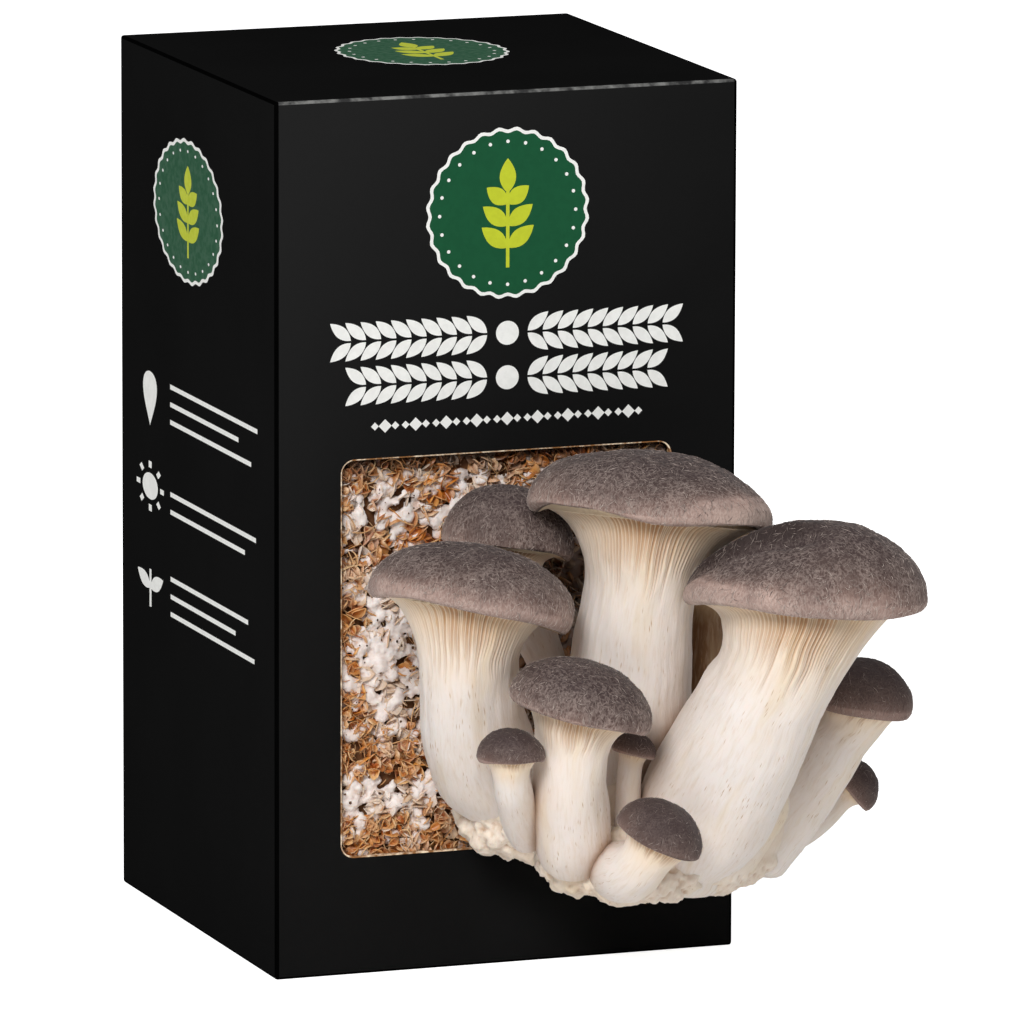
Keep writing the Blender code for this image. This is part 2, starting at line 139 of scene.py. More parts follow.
@dataclass
class MeshParts:
    """Points, faces and values at the points, gathered for one mesh, in millimetres."""

    points: list[np.ndarray] = field(default_factory=list)
    corners: list[np.ndarray] = field(default_factory=list)
    sizes: list[np.ndarray] = field(default_factory=list)
    slots: list[np.ndarray] = field(default_factory=list)
    values: dict[str, list[np.ndarray]] = field(default_factory=dict)
    count: int = 0

    def add(self, points: np.ndarray, faces: Sequence[Sequence[int]], slot: int = 0,
            **values: np.ndarray) -> None:
        """Adds some points and faces.

        Args:
            points: the new points, one a row.
            faces: for each face, the numbers of its points, counted within the new points.
            slot: which of the mesh's materials the faces take.
            values: named values at the points, as numbers or as vectors.
        """
        for name, value in values.items():
            self.values.setdefault(name, []).append(np.asarray(value, float))
        self.points.append(points)
        self.corners.append(np.fromiter((i for face in faces for i in face), int) + self.count)
        self.sizes.append(np.fromiter((len(face) for face in faces), int))
        self.slots.append(np.full(len(faces), slot))
        self.count += len(points)

    def build(self, name: str, materials: Sequence[Material],
              smooth: bool = True) -> Object:
        """Makes the object.

        Args:
            name: the piece's name.
            materials: its materials, in the order that the slots count them.
            smooth: whether faces are shaded as one smooth surface.

        Returns:
            The new object, linked to the scene.
        """
        mesh = bpy.data.meshes.new(name)
        points, corners = np.concatenate(self.points) * MM, np.concatenate(self.corners)
        sizes, slots = np.concatenate(self.sizes), np.concatenate(self.slots)
        mesh.vertices.add(len(points))
        mesh.loops.add(len(corners))
        mesh.polygons.add(len(sizes))
        mesh.vertices.foreach_set("co", points.ravel())
        mesh.loops.foreach_set("vertex_index", corners)
        mesh.polygons.foreach_set("loop_start", np.cumsum(sizes) - sizes)
        mesh.polygons.foreach_set("material_index", slots)
        mesh.polygons.foreach_set("use_smooth", np.full(len(sizes), smooth))
        for key, arrays in self.values.items():
            flat = np.concatenate(arrays).astype(np.float32)
            kind = "FLOAT" if flat.ndim == 1 else "FLOAT_VECTOR"
            target = mesh.attributes.new(key, kind, "POINT")
            target.data.foreach_set("value" if flat.ndim == 1 else "vector", flat.ravel())
        for material in materials:
            mesh.materials.append(material)
        mesh.update(calc_edges=True)
        return link(bpy.data.objects.new(name, mesh))


def distance_along(points: np.ndarray) -> np.ndarray:
    """How far along a path each of its points lies."""
    return np.concatenate([[0], np.cumsum(np.linalg.norm(np.diff(points, axis=0), axis=1))])


def link(obj: Object) -> Object:
    """Puts an object in the scene."""
    bpy.context.scene.collection.objects.link(obj)
    return obj


def mount_piece(obj: Object, slot: str, *nodes: str) -> None:
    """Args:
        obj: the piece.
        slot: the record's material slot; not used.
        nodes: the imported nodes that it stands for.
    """
    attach(obj, BODY)
    if nodes:
        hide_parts(*nodes)
    triangles = sum(len(face.vertices) - 2 for face in obj.data.polygons)
    LOG.info("%s: %d triangles", obj.name, triangles)


def ring_faces(rings: int, columns: int) -> list[list[int]]:
    """Quads between closed rings of points, facing outward where rings run down or outward.

    Args:
        rings: number of rings.
        columns: points in each ring.

    Returns:
        The faces' point numbers.
    """
    ring, column = np.meshgrid(np.arange(rings - 1), np.arange(columns), indexing="ij")
    after = (column + 1) % columns
    a, b = ring * columns + column, ring * columns + after
    return np.stack([a, a + columns, b + columns, b], -1).reshape(-1, 4).tolist()


def capped_tube(rings: np.ndarray, top: np.ndarray, bottom: np.ndarray) -> tuple[np.ndarray, list]:
    """A closed skin over rings of points and a pole at each end.

    Args:
        rings: the points, as rings by columns by 3.
        top: the pole before the first ring.
        bottom: the pole after the last ring.

    Returns:
        The points and the faces. The poles are the last two points.
    """
    count, columns = rings.shape[:2]
    faces = ring_faces(count, columns)
    pole, last = count * columns, (count - 1) * columns
    faces += [(pole, j, (j + 1) % columns) for j in range(columns)]
    faces += [(pole + 1, last + (j + 1) % columns, last + j) for j in range(columns)]
    return np.concatenate([rings.reshape(-1, 3), top[None], bottom[None]]), faces


def evaluated(obj: Object) -> Mesh:
    """Applies an object's modifiers and removes the object.

    Args:
        obj: the object.

    Returns:
        Its mesh with the modifiers applied.
    """
    graph = bpy.context.evaluated_depsgraph_get()
    mesh = bpy.data.meshes.new_from_object(obj.evaluated_get(graph))
    bpy.data.objects.remove(obj, do_unlink=True)
    return mesh


def ball(level: int) -> tuple[np.ndarray, np.ndarray]:
    """A round ball of radius 1.

    Args:
        level: how finely it is split.

    Returns:
        Its points and its faces.
    """
    form = bmesh.new()
    bmesh.ops.create_icosphere(form, subdivisions=level, radius=1.0)
    form.verts.ensure_lookup_table()
    points = np.array([vertex.co[:] for vertex in form.verts])
    faces = np.array([[vertex.index for vertex in face.verts] for face in form.faces])
    form.free()
    return points, faces


def fused_balls(name: str, balls: Sequence[tuple[np.ndarray, np.ndarray]], voxel: float,
                smoothing: int) -> Mesh:
    """Rounded lumps grown together into one skin.

    Args:
        name: the new mesh's name.
        balls: centre and half-widths of each lump, in millimetres.
        voxel: size of the cells that the skin is made from, in millimetres.
        smoothing: how often the skin is smoothed.

    Returns:
        The mesh.
    """
    made = MeshParts()
    for level, large in ((2, False), (3, True)):
        chosen = [pair for pair in balls if (max(pair[1]) > 8) == large]
        if not chosen:
            continue
        shape, faces = ball(level)
        centres, halves = (np.array([pair[k] for pair in chosen]) for k in range(2))
        points = (centres[:, None] + shape[None] * halves[:, None]).reshape(-1, 3)
        step = np.arange(len(chosen))[:, None, None] * len(shape)
        made.add(points, (faces[None] + step).reshape(-1, 3).tolist())
    obj = made.build(name, [])
    remesh = obj.modifiers.new("one_skin", "REMESH")
    remesh.mode = "VOXEL"
    remesh.voxel_size = voxel * MM
    soften = obj.modifiers.new("soften", "SMOOTH")
    soften.factor = 0.5
    soften.iterations = smoothing
    return evaluated(obj)


def mesh_arrays(mesh: Mesh) -> tuple[np.ndarray, np.ndarray, np.ndarray]:
    """Reads a mesh.

    Args:
        mesh: the mesh.

    Returns:
        Its points in millimetres, the normals at them, and its edges.
    """
    points = np.zeros(len(mesh.vertices) * 3)
    normals = np.zeros(len(mesh.vertices) * 3)
    edges = np.zeros(len(mesh.edges) * 2, int)
    mesh.vertices.foreach_get("co", points)
    mesh.vertices.foreach_get("normal", normals)
    mesh.edges.foreach_get("vertices", edges)
    return points.reshape(-1, 3) / MM, normals.reshape(-1, 3), edges.reshape(-1, 2)


def hollowness(points: np.ndarray, normals: np.ndarray, edges: np.ndarray) -> np.ndarray:
    """How far each point lies in a crevice.

    Args:
        points: the mesh's points.
        normals: the normals at them.
        edges: pairs of points that share an edge.

    Returns:
        Positive values in crevices and negative ones on crests.
    """
    ends = np.concatenate([edges, edges[:, ::-1]])
    degree = np.bincount(ends[:, 0], minlength=len(points)).clip(1)
    wide = points
    for _ in range(HOLLOW_SPREAD):
        sums = [np.bincount(ends[:, 0], wide[ends[:, 1], k], len(points)) for k in range(3)]
        wide = np.stack(sums, -1) / degree[:, None]
    return ((wide - points) * normals).sum(-1)


class Tree:
    """Adds linked nodes to one node tree."""

    def __init__(self, tree: bpy.types.NodeTree) -> None:
        """Keeps the tree to add to."""
        self.tree = tree

    def feed(self, target: Socket, value: Any) -> None:
        """Links a socket to an input, or sets the input to a plain value.

        Args:
            target: the input.
            value: the socket or the value.
        """
        if isinstance(value, Socket):
            self.tree.links.new(value, target)
        else:
            target.default_value = value

    def node(self, kind: str, inputs: dict[Any, Any] | None = None, **settings: Any) -> bpy.types.Node:
        """Adds a node.

        Args:
            kind: the node's type.
            inputs: for input names or numbers, a socket to link or a value to set.
            settings: the node's own settings.

        Returns:
            The node.
        """
        made = self.tree.nodes.new(kind)
        for name, value in settings.items():
            setattr(made, name, value)
        for name, value in (inputs or {}).items():
            self.feed(made.inputs[name], value)
        return made

    def math(self, operation: str, first: Any, second: Any = 0.0) -> Socket:
        """The result of a sum on two numbers."""
        return self.node("ShaderNodeMath", {0: first, 1: second}, operation=operation).outputs[0]

    def times(self, first: Any, second: Any) -> Socket:
        """Two numbers multiplied."""
        return self.math("MULTIPLY", first, second)

    def span(self, value: Any, low: Any, high: Any, to_low: float = 0.0, to_high: float = 1.0) -> Socket:
        """Moves a number from one range to another and holds it inside.

        Args:
            value: the number.
            low: where its range starts.
            high: where its range ends.
            to_low: what the start becomes.
            to_high: what the end becomes.

        Returns:
            The new number's socket.
        """
        names = ("Value", "From Min", "From Max", "To Min", "To Max")
        values = (value, low, high, to_low, to_high)
        return self.node("ShaderNodeMapRange", dict(zip(names, values))).outputs[0]

    def mix(self, share: Any, first: Any, second: Any) -> Socket:
        """A colour between two others."""
        return self.node("ShaderNodeMix", {0: share, 6: first, 7: second}, data_type="RGBA").outputs[2]

    def tint(self, colour: Socket, mask: Socket, strength: float, target: Colour) -> Socket:
        """A colour moved towards another one where a mask is high."""
        return self.mix(self.times(mask, strength), colour, target)

    def ramp(self, value: Any, stops: Sequence[tuple[float, Colour]]) -> Socket:
        """A colour read off a row of colours.

        Args:
            value: where to read.
            stops: places from 0 to 1 and the colours there.

        Returns:
            The colour's socket.
        """
        made = self.node("ShaderNodeValToRGB", {0: value})
        elements = made.color_ramp.elements
        while len(elements) < len(stops):
            elements.new(1.0)
        for element, (place, colour) in zip(elements, stops):
            element.position = place
            element.color = colour
        return made.outputs[0]

    def value_at(self, name: str, kind: str = "Fac") -> Socket:
        """The number, or with the kind Vector the vector, that the mesh holds under this name."""
        return self.node("ShaderNodeAttribute", attribute_name=name).outputs[kind]

    def place(self) -> Socket:
        """Object coordinates, in metres."""
        return self.node("ShaderNodeTexCoord").outputs["Object"]

    def noise(self, place: Socket, scale: Any, detail: Any, output: str = "Fac") -> Socket:
        """A plain noise."""
        return self.node("ShaderNodeTexNoise",
                         {"Vector": place, "Scale": scale, "Detail": detail}).outputs[output]

    def effect(self, effect: "Effect", place: Socket, **numbers: float) -> Socket:
        """Places one of the shared effects and returns its mask."""
        inputs = {"Vector": place, **{name.title(): value for name, value in numbers.items()}}
        return self.node("ShaderNodeGroup", inputs, node_tree=effect_tree(effect)).outputs["Mask"]

    def clouds(self, place: Socket, scale: float, low: float = 0.4, high: float = 0.6,
               detail: float = 4.0) -> Socket:
        """Soft clouds, 0 below the low level of their noise and 1 above the high one."""
        return self.effect(Effect.CLOUDS, place, scale=scale, detail=detail, low=low, high=high)


class Effect(Enum):
    """Effects that more than one finish uses, each a shader node group."""

    CLOUDS = "clouds"
    FIBRES = "fibres"
    FLECKS = "flecks"


EFFECT_INPUTS = {
    Effect.CLOUDS: {"Scale": 1.0, "Detail": 4.0, "Low": 0.4, "High": 0.6},
    Effect.FIBRES: {"Scale": 1.0, "Warp": 0.5, "Low": 0.72, "High": 0.95},
    Effect.FLECKS: {"Scale": 1.0, "Share": 0.2, "Size": 0.25},
}


def effect_tree(effect: Effect) -> bpy.types.NodeTree:
    """The node group of an effect, built the first time that it is asked for.

    Args:
        effect: which one.

    Returns:
        The group, with a Vector input, the effect's numbers as inputs, and a Mask output.
    """
    name = f"effect_{effect.value}"
    if name in bpy.data.node_groups:
        return bpy.data.node_groups[name]
    group = bpy.data.node_groups.new(name, "ShaderNodeTree")
    group.interface.new_socket("Vector", in_out="INPUT", socket_type="NodeSocketVector")
    for key, value in EFFECT_INPUTS[effect].items():
        socket = group.interface.new_socket(key, in_out="INPUT", socket_type="NodeSocketFloat")
        socket.default_value = value
    group.interface.new_socket("Mask", in_out="OUTPUT", socket_type="NodeSocketFloat")
    tree = Tree(group)
    given = tree.node("NodeGroupInput").outputs
    place, scale = given["Vector"], given["Scale"]
    if effect is Effect.CLOUDS:
        mask = tree.span(tree.noise(place, scale, given["Detail"]), given["Low"], given["High"])
    elif effect is Effect.FIBRES:
        bend = tree.noise(place, scale, 1.0, "Color")
        shift = tree.node("ShaderNodeVectorMath", {0: bend, "Scale": given["Warp"]},
                          operation="SCALE").outputs[0]
        moved = tree.node("ShaderNodeVectorMath", {0: place, 1: shift}, operation="ADD").outputs[0]
        off = tree.math("ABSOLUTE", tree.math("SUBTRACT", tree.noise(moved, scale, 2.0), 0.5))
        crest = tree.math("SUBTRACT", 1.0, tree.times(off, 4.0))
        mask = tree.span(crest, given["Low"], given["High"])
    else:
        cells = tree.node("ShaderNodeTexVoronoi", {"Vector": place, "Scale": scale}).outputs
        picked = tree.node("ShaderNodeSeparateColor", {0: cells["Color"]}).outputs[0]
        kept = tree.math("LESS_THAN", picked, given["Share"])
        mask = tree.times(kept, tree.span(cells["Distance"], given["Size"], 0.0))
    tree.node("NodeGroupOutput", {"Mask": mask})
    return group


class Surface(Tree):
    """A new material, whose nodes are added to its own tree."""

    def __init__(self, name: str, **constants: Any) -> None:
        """Makes the material.

        Args:
            name: its name.
            constants: values for the shader's sockets, with spaces in their names as underscores.
        """
        self.material = bpy.data.materials.new(name)
        self.material.use_nodes = True
        super().__init__(self.material.node_tree)
        self.shader = self.tree.nodes["Principled BSDF"]
        for key, value in constants.items():
            self.shader.inputs[key.replace("_", " ")].default_value = value

    def finish(self, height: Any = None, distance: float = 0.0, strength: float = 1.0,
               **inputs: Socket) -> Material:
        """Feeds the shader and, where a height is given, adds a relief.

        Args:
            height: the relief's height, from 0 to 1.
            distance: what 1 stands for, in millimetres.
            strength: how strongly the relief shows.
            inputs: sockets for the shader, with spaces in its inputs' names as underscores.

        Returns:
            The material.
        """
        for key, value in inputs.items():
            self.feed(self.shader.inputs[key.replace("_", " ")], value)
        if height is not None:
            relief = {"Height": height, "Strength": strength, "Distance": distance * MM}
            self.feed(self.shader.inputs["Normal"], self.node("ShaderNodeBump", relief).outputs[0])
        return self.material


@dataclass(frozen=True)
class Board:
    """Printed black board: a near-black ink with faint clouds and a paper grain."""

    name: str
    dark: Colour
    light: Colour
    worn: Colour | None = None
    painted_light_upper_left: Colour | None = None

    def build(self) -> Material:
        """Makes the material.

        Returns:
            The material.
        """
        look = Surface(self.name, Roughness=0.62, Specular_IOR_Level=0.0)
        place = look.place()
        colour = look.mix(look.clouds(place, 22, 0.2, 0.85), self.dark, self.light)
        # painted light: towards its upper left the face is made lighter, as if lit from there
        if self.painted_light_upper_left:
            across = look.node("ShaderNodeSeparateXYZ", {0: place}).outputs
            slant = look.math("SUBTRACT", across["Z"], look.times(across["X"], 1.2))
            colour = look.mix(look.span(slant, 0.14, 0.33), colour, self.painted_light_upper_left)
        if self.worn:
            colour = look.mix(look.clouds(place, 260, 0.36, 0.62), colour, self.worn)
        return look.finish(look.clouds(place, 1400, 0.3, 0.7, 2), 0.03, 0.35, Base_Color=colour,
                           Roughness=look.span(look.clouds(place, 60), 0, 1, 0.55, 0.7))


@dataclass(frozen=True)
class Kraft:
    """Bare brown paper where the board is cut, with lighter torn fibres."""

    name: str = "kraft_cut"
    brown: Colour = linear(150, 104, 62)
    pale: Colour = linear(252, 234, 206)

    def build(self) -> Material:
        """Makes the material.

        Returns:
            The material.
        """
        look = Surface(self.name, Roughness=0.9, Specular_IOR_Level=0.2)
        torn = look.clouds(look.place(), 420, 0.42, 0.66)
        return look.finish(torn, 0.15, 0.6, Base_Color=look.mix(torn, self.brown, self.pale))


@dataclass(frozen=True)
class Ink:
    """A flat printed colour with the paper's grain showing in its gloss."""

    name: str
    colour: Colour

    def build(self) -> Material:
        """Makes the material.

        Returns:
            The material.
        """
        look = Surface(self.name, Roughness=0.5, Specular_IOR_Level=0.2)
        grain = look.clouds(look.place(), 500)
        return look.finish(Base_Color=look.mix(look.times(grain, 0.06), self.colour, BLACK),
                           Roughness=look.span(grain, 0, 1, 0.45, 0.6))


@dataclass(frozen=True)
class Velvet:
    """The cap's skin: grey-brown with silvery fibres, paler at the rim, cream underneath."""

    name: str = "velvet_skin"
    nap: float = 1.0
    fineness: float = 1.0
    crown_to_rim: tuple[tuple[float, Colour], ...] = (
        (0.0, linear(60, 49, 49)), (0.30, linear(66, 53, 52)), (0.46, linear(78, 62, 58)),
        (0.56, linear(92, 72, 66)), (0.64, linear(124, 99, 90)), (0.71, linear(176, 147, 136)),
        (0.80, linear(180, 152, 141)), (1.0, linear(210, 183, 170)))
    dusk: Colour = linear(70, 56, 55)
    gap: Colour = linear(62, 49, 48)
    silver: Colour = linear(214, 194, 184)
    shadow: Colour = linear(46, 36, 34)
    lip: Colour = linear(70, 56, 52)
    underside: Colour = linear(226, 204, 174)

    def build(self) -> Material:
        """Makes the material.

        Returns:
            The material.
        """
        look = Surface(self.name, Roughness=0.75, Specular_IOR_Level=0.2, Sheen_Weight=0.06,
                       Sheen_Roughness=0.4)
        place, reach, tone = look.place(), look.value_at("reach"), look.value_at("tone")
        faded = look.math("ADD", tone, look.span(look.clouds(place, 45, 0.25, 0.75), 0, 1, -0.12, 0.12))
        skin = look.ramp(look.span(faded, 0, 1.5), self.crown_to_rim)
        skin = look.tint(skin, look.clouds(place, 75, 0.35, 0.68), 0.45, self.dusk)
        web = look.effect(Effect.FIBRES, place, scale=700 * self.fineness, warp=0.0014, low=0.62,
                          high=1.05)
        combed = look.effect(Effect.FIBRES, look.value_at("fibre", "Vector"), scale=1.1 * self.fineness,
                             warp=0.6, low=0.54, high=1.0)
        outer = look.span(reach, 0.5, 1.1, 0, 0.75)
        hairs = look.math("ADD", look.times(combed, outer),
                          look.times(web, look.math("SUBTRACT", 1.0, outer)))
        patchy = look.clouds(place, 160, 0.3, 0.6)
        skin = look.tint(skin, look.math("SUBTRACT", 1.0, hairs), 0.1 * self.nap, self.gap)
        share = look.times(look.times(hairs, look.span(patchy, 0, 1, 0.35, 1)),
                           look.span(tone, 0.35, 1, 0.2 * self.nap, 0.5 * self.nap))
        skin = look.mix(share, skin, self.silver)
        # painted shade: darker in the hollow behind the fold
        skin = look.tint(skin, look.value_at("groove"), 0.85, self.shadow)
        # painted shade: a dark line along the rim's lip, where the rim rolls under
        line = look.times(look.span(reach, 1.42, 1.5), look.span(reach, 1.64, 1.56))
        skin = look.tint(skin, line, 0.8, self.lip)
        height = look.math("ADD", look.times(hairs, 0.7), look.times(patchy, 0.5))
        return look.finish(height, 0.3, 0.5 * self.nap,
                           Base_Color=look.mix(look.span(reach, 1.54, 1.6), skin, self.underside))


@dataclass(frozen=True)
class Fibril:
    """The loose silvery hairs that lie on the cap."""

    name: str = "silver_fibrils"
    dark: Colour = linear(104, 88, 84)
    bright: Colour = linear(214, 198, 188)

    def build(self) -> Material:
        """Makes the material.

        Returns:
            The material.
        """
        look = Surface(self.name, Roughness=0.7, Specular_IOR_Level=0.3)
        return look.finish(Base_Color=look.mix(look.value_at("tone"), self.dark, self.bright))


@dataclass(frozen=True)
class Flesh:
    """Cream flesh: fine streaks along it, small tan flecks, and golden hollows between gills, partly
    their own colour and partly painted shade.
    """

    name: str
    bright: Colour
    warm: Colour
    hollow: Colour
    streaks: float = 0.5
    depth: float = 0.95
    streak: Colour = linear(216, 193, 166)
    stain: Colour = linear(228, 206, 168)
    nick: Colour = linear(184, 142, 94)
    bounce_gold: Colour = linear(243, 212, 166)
    crevice_shade: Colour = linear(156, 114, 76)

    def build(self) -> Material:
        """Makes the material.

        Returns:
            The material.
        """
        look = Surface(self.name, Roughness=0.55, Specular_IOR_Level=0.3, Subsurface_Weight=0.18,
                       Subsurface_Radius=(1.0, 0.62, 0.4), Subsurface_Scale=0.0025)
        place, grain = look.place(), look.value_at("grain", "Vector")
        colour = look.mix(look.clouds(place, 45, 0.3, 0.7), self.bright, self.warm)
        lines = look.clouds(grain, 1.1, 0.48, 0.72, 3)
        colour = look.tint(colour, lines, 0.6 * self.streaks, self.streak)
        stains = look.clouds(grain, 0.16, 0.54, 0.72, 3)
        colour = look.tint(colour, stains, 0.7 * self.streaks, self.stain)
        nicks = look.effect(Effect.FLECKS, grain, scale=1.9, share=0.22, size=0.36)
        cracks = look.effect(Effect.FLECKS, grain, scale=0.9, share=0.08, size=0.26)
        nicks = look.times(look.math("ADD", nicks, cracks),
                           look.span(look.clouds(place, 80, 0.46, 0.62), 0, 1, 0.15, 1))
        colour = look.mix(look.span(nicks, 0, 1, 0, 2.4 * self.streaks), colour, self.nick)
        # partly the gills' own cream-gold and partly painted warm bounce light: the flesh is warmed
        # towards the cap
        bounce_share = look.math("POWER", look.span(look.value_at("flare"), 0, 1), 1.4)
        colour = look.tint(colour, bounce_share, 0.75, self.bounce_gold)
        # painted shade: darker and browner where other stems crowd close
        colour = look.tint(colour, look.value_at("crowded"), 0.8, self.crevice_shade)
        # partly the flesh's own tan and partly painted shade: darker and more golden deep in gill
        # valleys and crevices
        deep = look.math("POWER", look.span(look.value_at("hollow"), 0, 1), 0.95)
        colour = look.tint(colour, deep, self.depth, self.hollow)
        fine = look.clouds(grain, 1.6, 0.2, 0.8)
        return look.finish(look.math("SUBTRACT", fine, look.times(nicks, 0.8)), 0.16, 0.45,
                           Base_Color=colour)


@dataclass(frozen=True)
class Crumb:
    """One of the small things in the block, with a tone that changes from piece to piece."""

    name: str
    dark: Colour
    light: Colour
    scale: float
    roughness: float = 0.6
    glow: float = 0.0
    rim: Colour = WHITE
    dust: float = 0.0
    meal: Colour = linear(242, 222, 200)
    shadow: Colour = linear(46, 28, 16)

    def build(self) -> Material:
        """Makes the material.

        Returns:
            The material.
        """
        look = Surface(self.name, Specular_IOR_Level=0.35, Subsurface_Weight=self.glow,
                       Subsurface_Radius=(1.0, 0.7, 0.5), Subsurface_Scale=0.002)
        place = look.place()
        spots = look.clouds(place, self.scale, 0.3, 0.7)
        share = look.math("ADD", look.times(look.value_at("tone"), 0.7), look.times(spots, 0.3))
        colour = look.mix(look.value_at("rim"), look.mix(share, self.dark, self.light), self.rim)
        if self.dust:
            colour = look.tint(colour, look.clouds(place, 130, 0.48, 0.64), self.dust, self.meal)
        # painted shadow over what lies back in the recess
        colour = look.tint(colour, look.value_at("gloom"), 0.85, self.shadow)
        gloss = look.span(spots, 0, 1, self.roughness - 0.15, self.roughness + 0.15)
        return look.finish(spots, 0.15, 0.6, Base_Color=colour, Roughness=gloss)


@dataclass(frozen=True)
class Paper:
    """The plain pale floor."""

    name: str = "pale_floor"
    shade: float = 0.93
    pale: float = 0.95
    glow: float = 0.85

    def build(self) -> Material:
        """Makes the material.

        Returns:
            The material.
        """
        look = Surface(self.name, Roughness=0.9, Specular_IOR_Level=0.1, Emission_Color=WHITE)
        faint = look.clouds(look.place(), 3, 0.2, 0.8)
        seen = look.node("ShaderNodeLightPath").outputs["Is Camera Ray"]
        return look.finish(Base_Color=look.mix(faint, (*[self.shade] * 3, 1), (*[self.pale] * 3, 1)),
                           Emission_Strength=look.times(seen, self.glow))


def strand_mesh(paths: np.ndarray, normals: np.ndarray, widths: np.ndarray,
                taper: Sequence[float]) -> tuple[np.ndarray, list]:
    """Thin three-sided strands along paths.

    Args:
        paths: strands by steps by 3.
        normals: which way is up at each step, the same shape.
        widths: half-width of each strand.
        taper: share of the width at each step.

    Returns:
        The points and the faces.
    """
    count, steps = paths.shape[:2]
    along = unit(np.gradient(paths, axis=1))
    side = unit(np.cross(along, normals))
    half = widths[:, None, None] * np.asarray(taper)[None, :, None]
    corners = np.stack([paths + side * half, paths - side * half,
                        paths + np.cross(side, along) * half * 1.1], 2)
    base = np.arange(count)[:, None, None] * steps * 3
    step = np.arange(steps - 1)[None, :, None] * 3
    corner = np.arange(3)[None, None, :]
    a, b = base + step + corner, base + step + (corner + 1) % 3
    sides = np.stack([a, a + 3, b + 3, b], -1).reshape(-1, 4).tolist()
    first = np.arange(count) * steps * 3
    last = first + (steps - 1) * 3
    ends = np.stack([first, first + 1, first + 2], -1).tolist()
    ends += np.stack([last + 2, last + 1, last], -1).tolist()
    return corners.reshape(-1, 3), sides + ends


CAP_TURN = math.radians(-20)
CAP_RIM_IN = 0.86
CAP_RIM_LEFT = 0.045
CAP_UNDERSIDE = 0.05
CAP_FULLNESS = 0.95
GILL_REACH = 0.84
GILL_RUN = 0.85
FLARE_POWER = 3.0
GILL_COLUMNS = (0.0, 0.2, 0.5, 0.8)  # ridge, side, valley or half gill, side
GILL_DEPTH = 0.036
FIBRIL_DENSITY = 2.3
FIBRIL_WIDTH = (0.05, 0.1)
FINE_CAP = 16  # caps with a smaller radius have a finer, darker felt
SPINE_STEPS = 60
BELLY_AT = 0.75
BELLY_EASE = 1.6
SEAT_DEPTH = 0.3  # how far the stem's top runs up into the cap, so that no gap shows


class StemTone(Enum):
    """The finishes that a stem can have."""

    CREAM = Flesh("cream_stem", linear(243, 234, 228), linear(237, 225, 215), linear(156, 100, 40))
    # painted shade: the cream stem made dark tan, for a stem deep in the cluster's shade
    SHADED_CREAM = Flesh("cream_stem_painted_shade", linear(134, 98, 66), linear(104, 72, 44), linear(84, 52, 28))


@dataclass(frozen=True)
class Fold:
    """A fold in a cap, seen from above in the cap's own axes: its near side hangs lower."""

    start: Pair = (-35.0, -2.0)
    end: Pair = (4.0, -16.0)
    step: float = 4.5
    depth: float = 3.5
    width: float = 3.0
    spread: float = 26.0
    overrun: float = 6.0
    runout: float = 16.0
    dent: Pair = (-18.0, 10.0)
    dent_radius: float = 14.0
    dent_depth: float = 3.0

    def measure(self, x: np.ndarray, y: np.ndarray) -> tuple[np.ndarray, np.ndarray]:
        """Places points against the fold's line.

        Args:
            x: places along the cap's widest heading.
            y: places away from it.

        Returns:
            How much of the fold is left at each place, and how far behind it the place lies.
        """
        run, rise = self.end[0] - self.start[0], self.end[1] - self.start[1]
        length = math.hypot(run, rise)
        along = ((x - self.start[0]) * run + (y - self.start[1]) * rise) / length
        behind = ((y - self.start[1]) * run - (x - self.start[0]) * rise) / length
        return ease((length - along + self.overrun) / self.runout), behind

    def lowering(self, x: np.ndarray, y: np.ndarray) -> np.ndarray:
        """How far the cap's surface sinks.

        Args:
            x: places along the cap's widest heading.
            y: places away from it.

        Returns:
            The depth at each place.
        """
        left, behind = self.measure(x, y)
        near = self.step / (1 + np.exp(behind / 1.3))
        near = near * np.exp(-(np.minimum(behind, 0) / self.spread) ** 2)
        away = ((x - self.dent[0]) ** 2 + (y - self.dent[1]) ** 2) / self.dent_radius**2
        return left * (near + self.depth * np.exp(-(behind / self.width) ** 2)) \
            + self.dent_depth * np.exp(-away)

    def shade(self, x: np.ndarray, y: np.ndarray) -> np.ndarray:
        """How much painted shade darkens the hollow behind the fold at these places."""
        left, behind = self.measure(x, y)
        return left * np.exp(-((behind - 2.5) / np.where(behind < 2.5, 2.0, 11.0)) ** 2)

    def crest(self, x: np.ndarray, y: np.ndarray) -> np.ndarray:
        """How much painted highlight lies on the fold's near edge at these places."""
        left, behind = self.measure(x, y)
        return left * np.exp(-((behind + 5) / 4.0) ** 2)


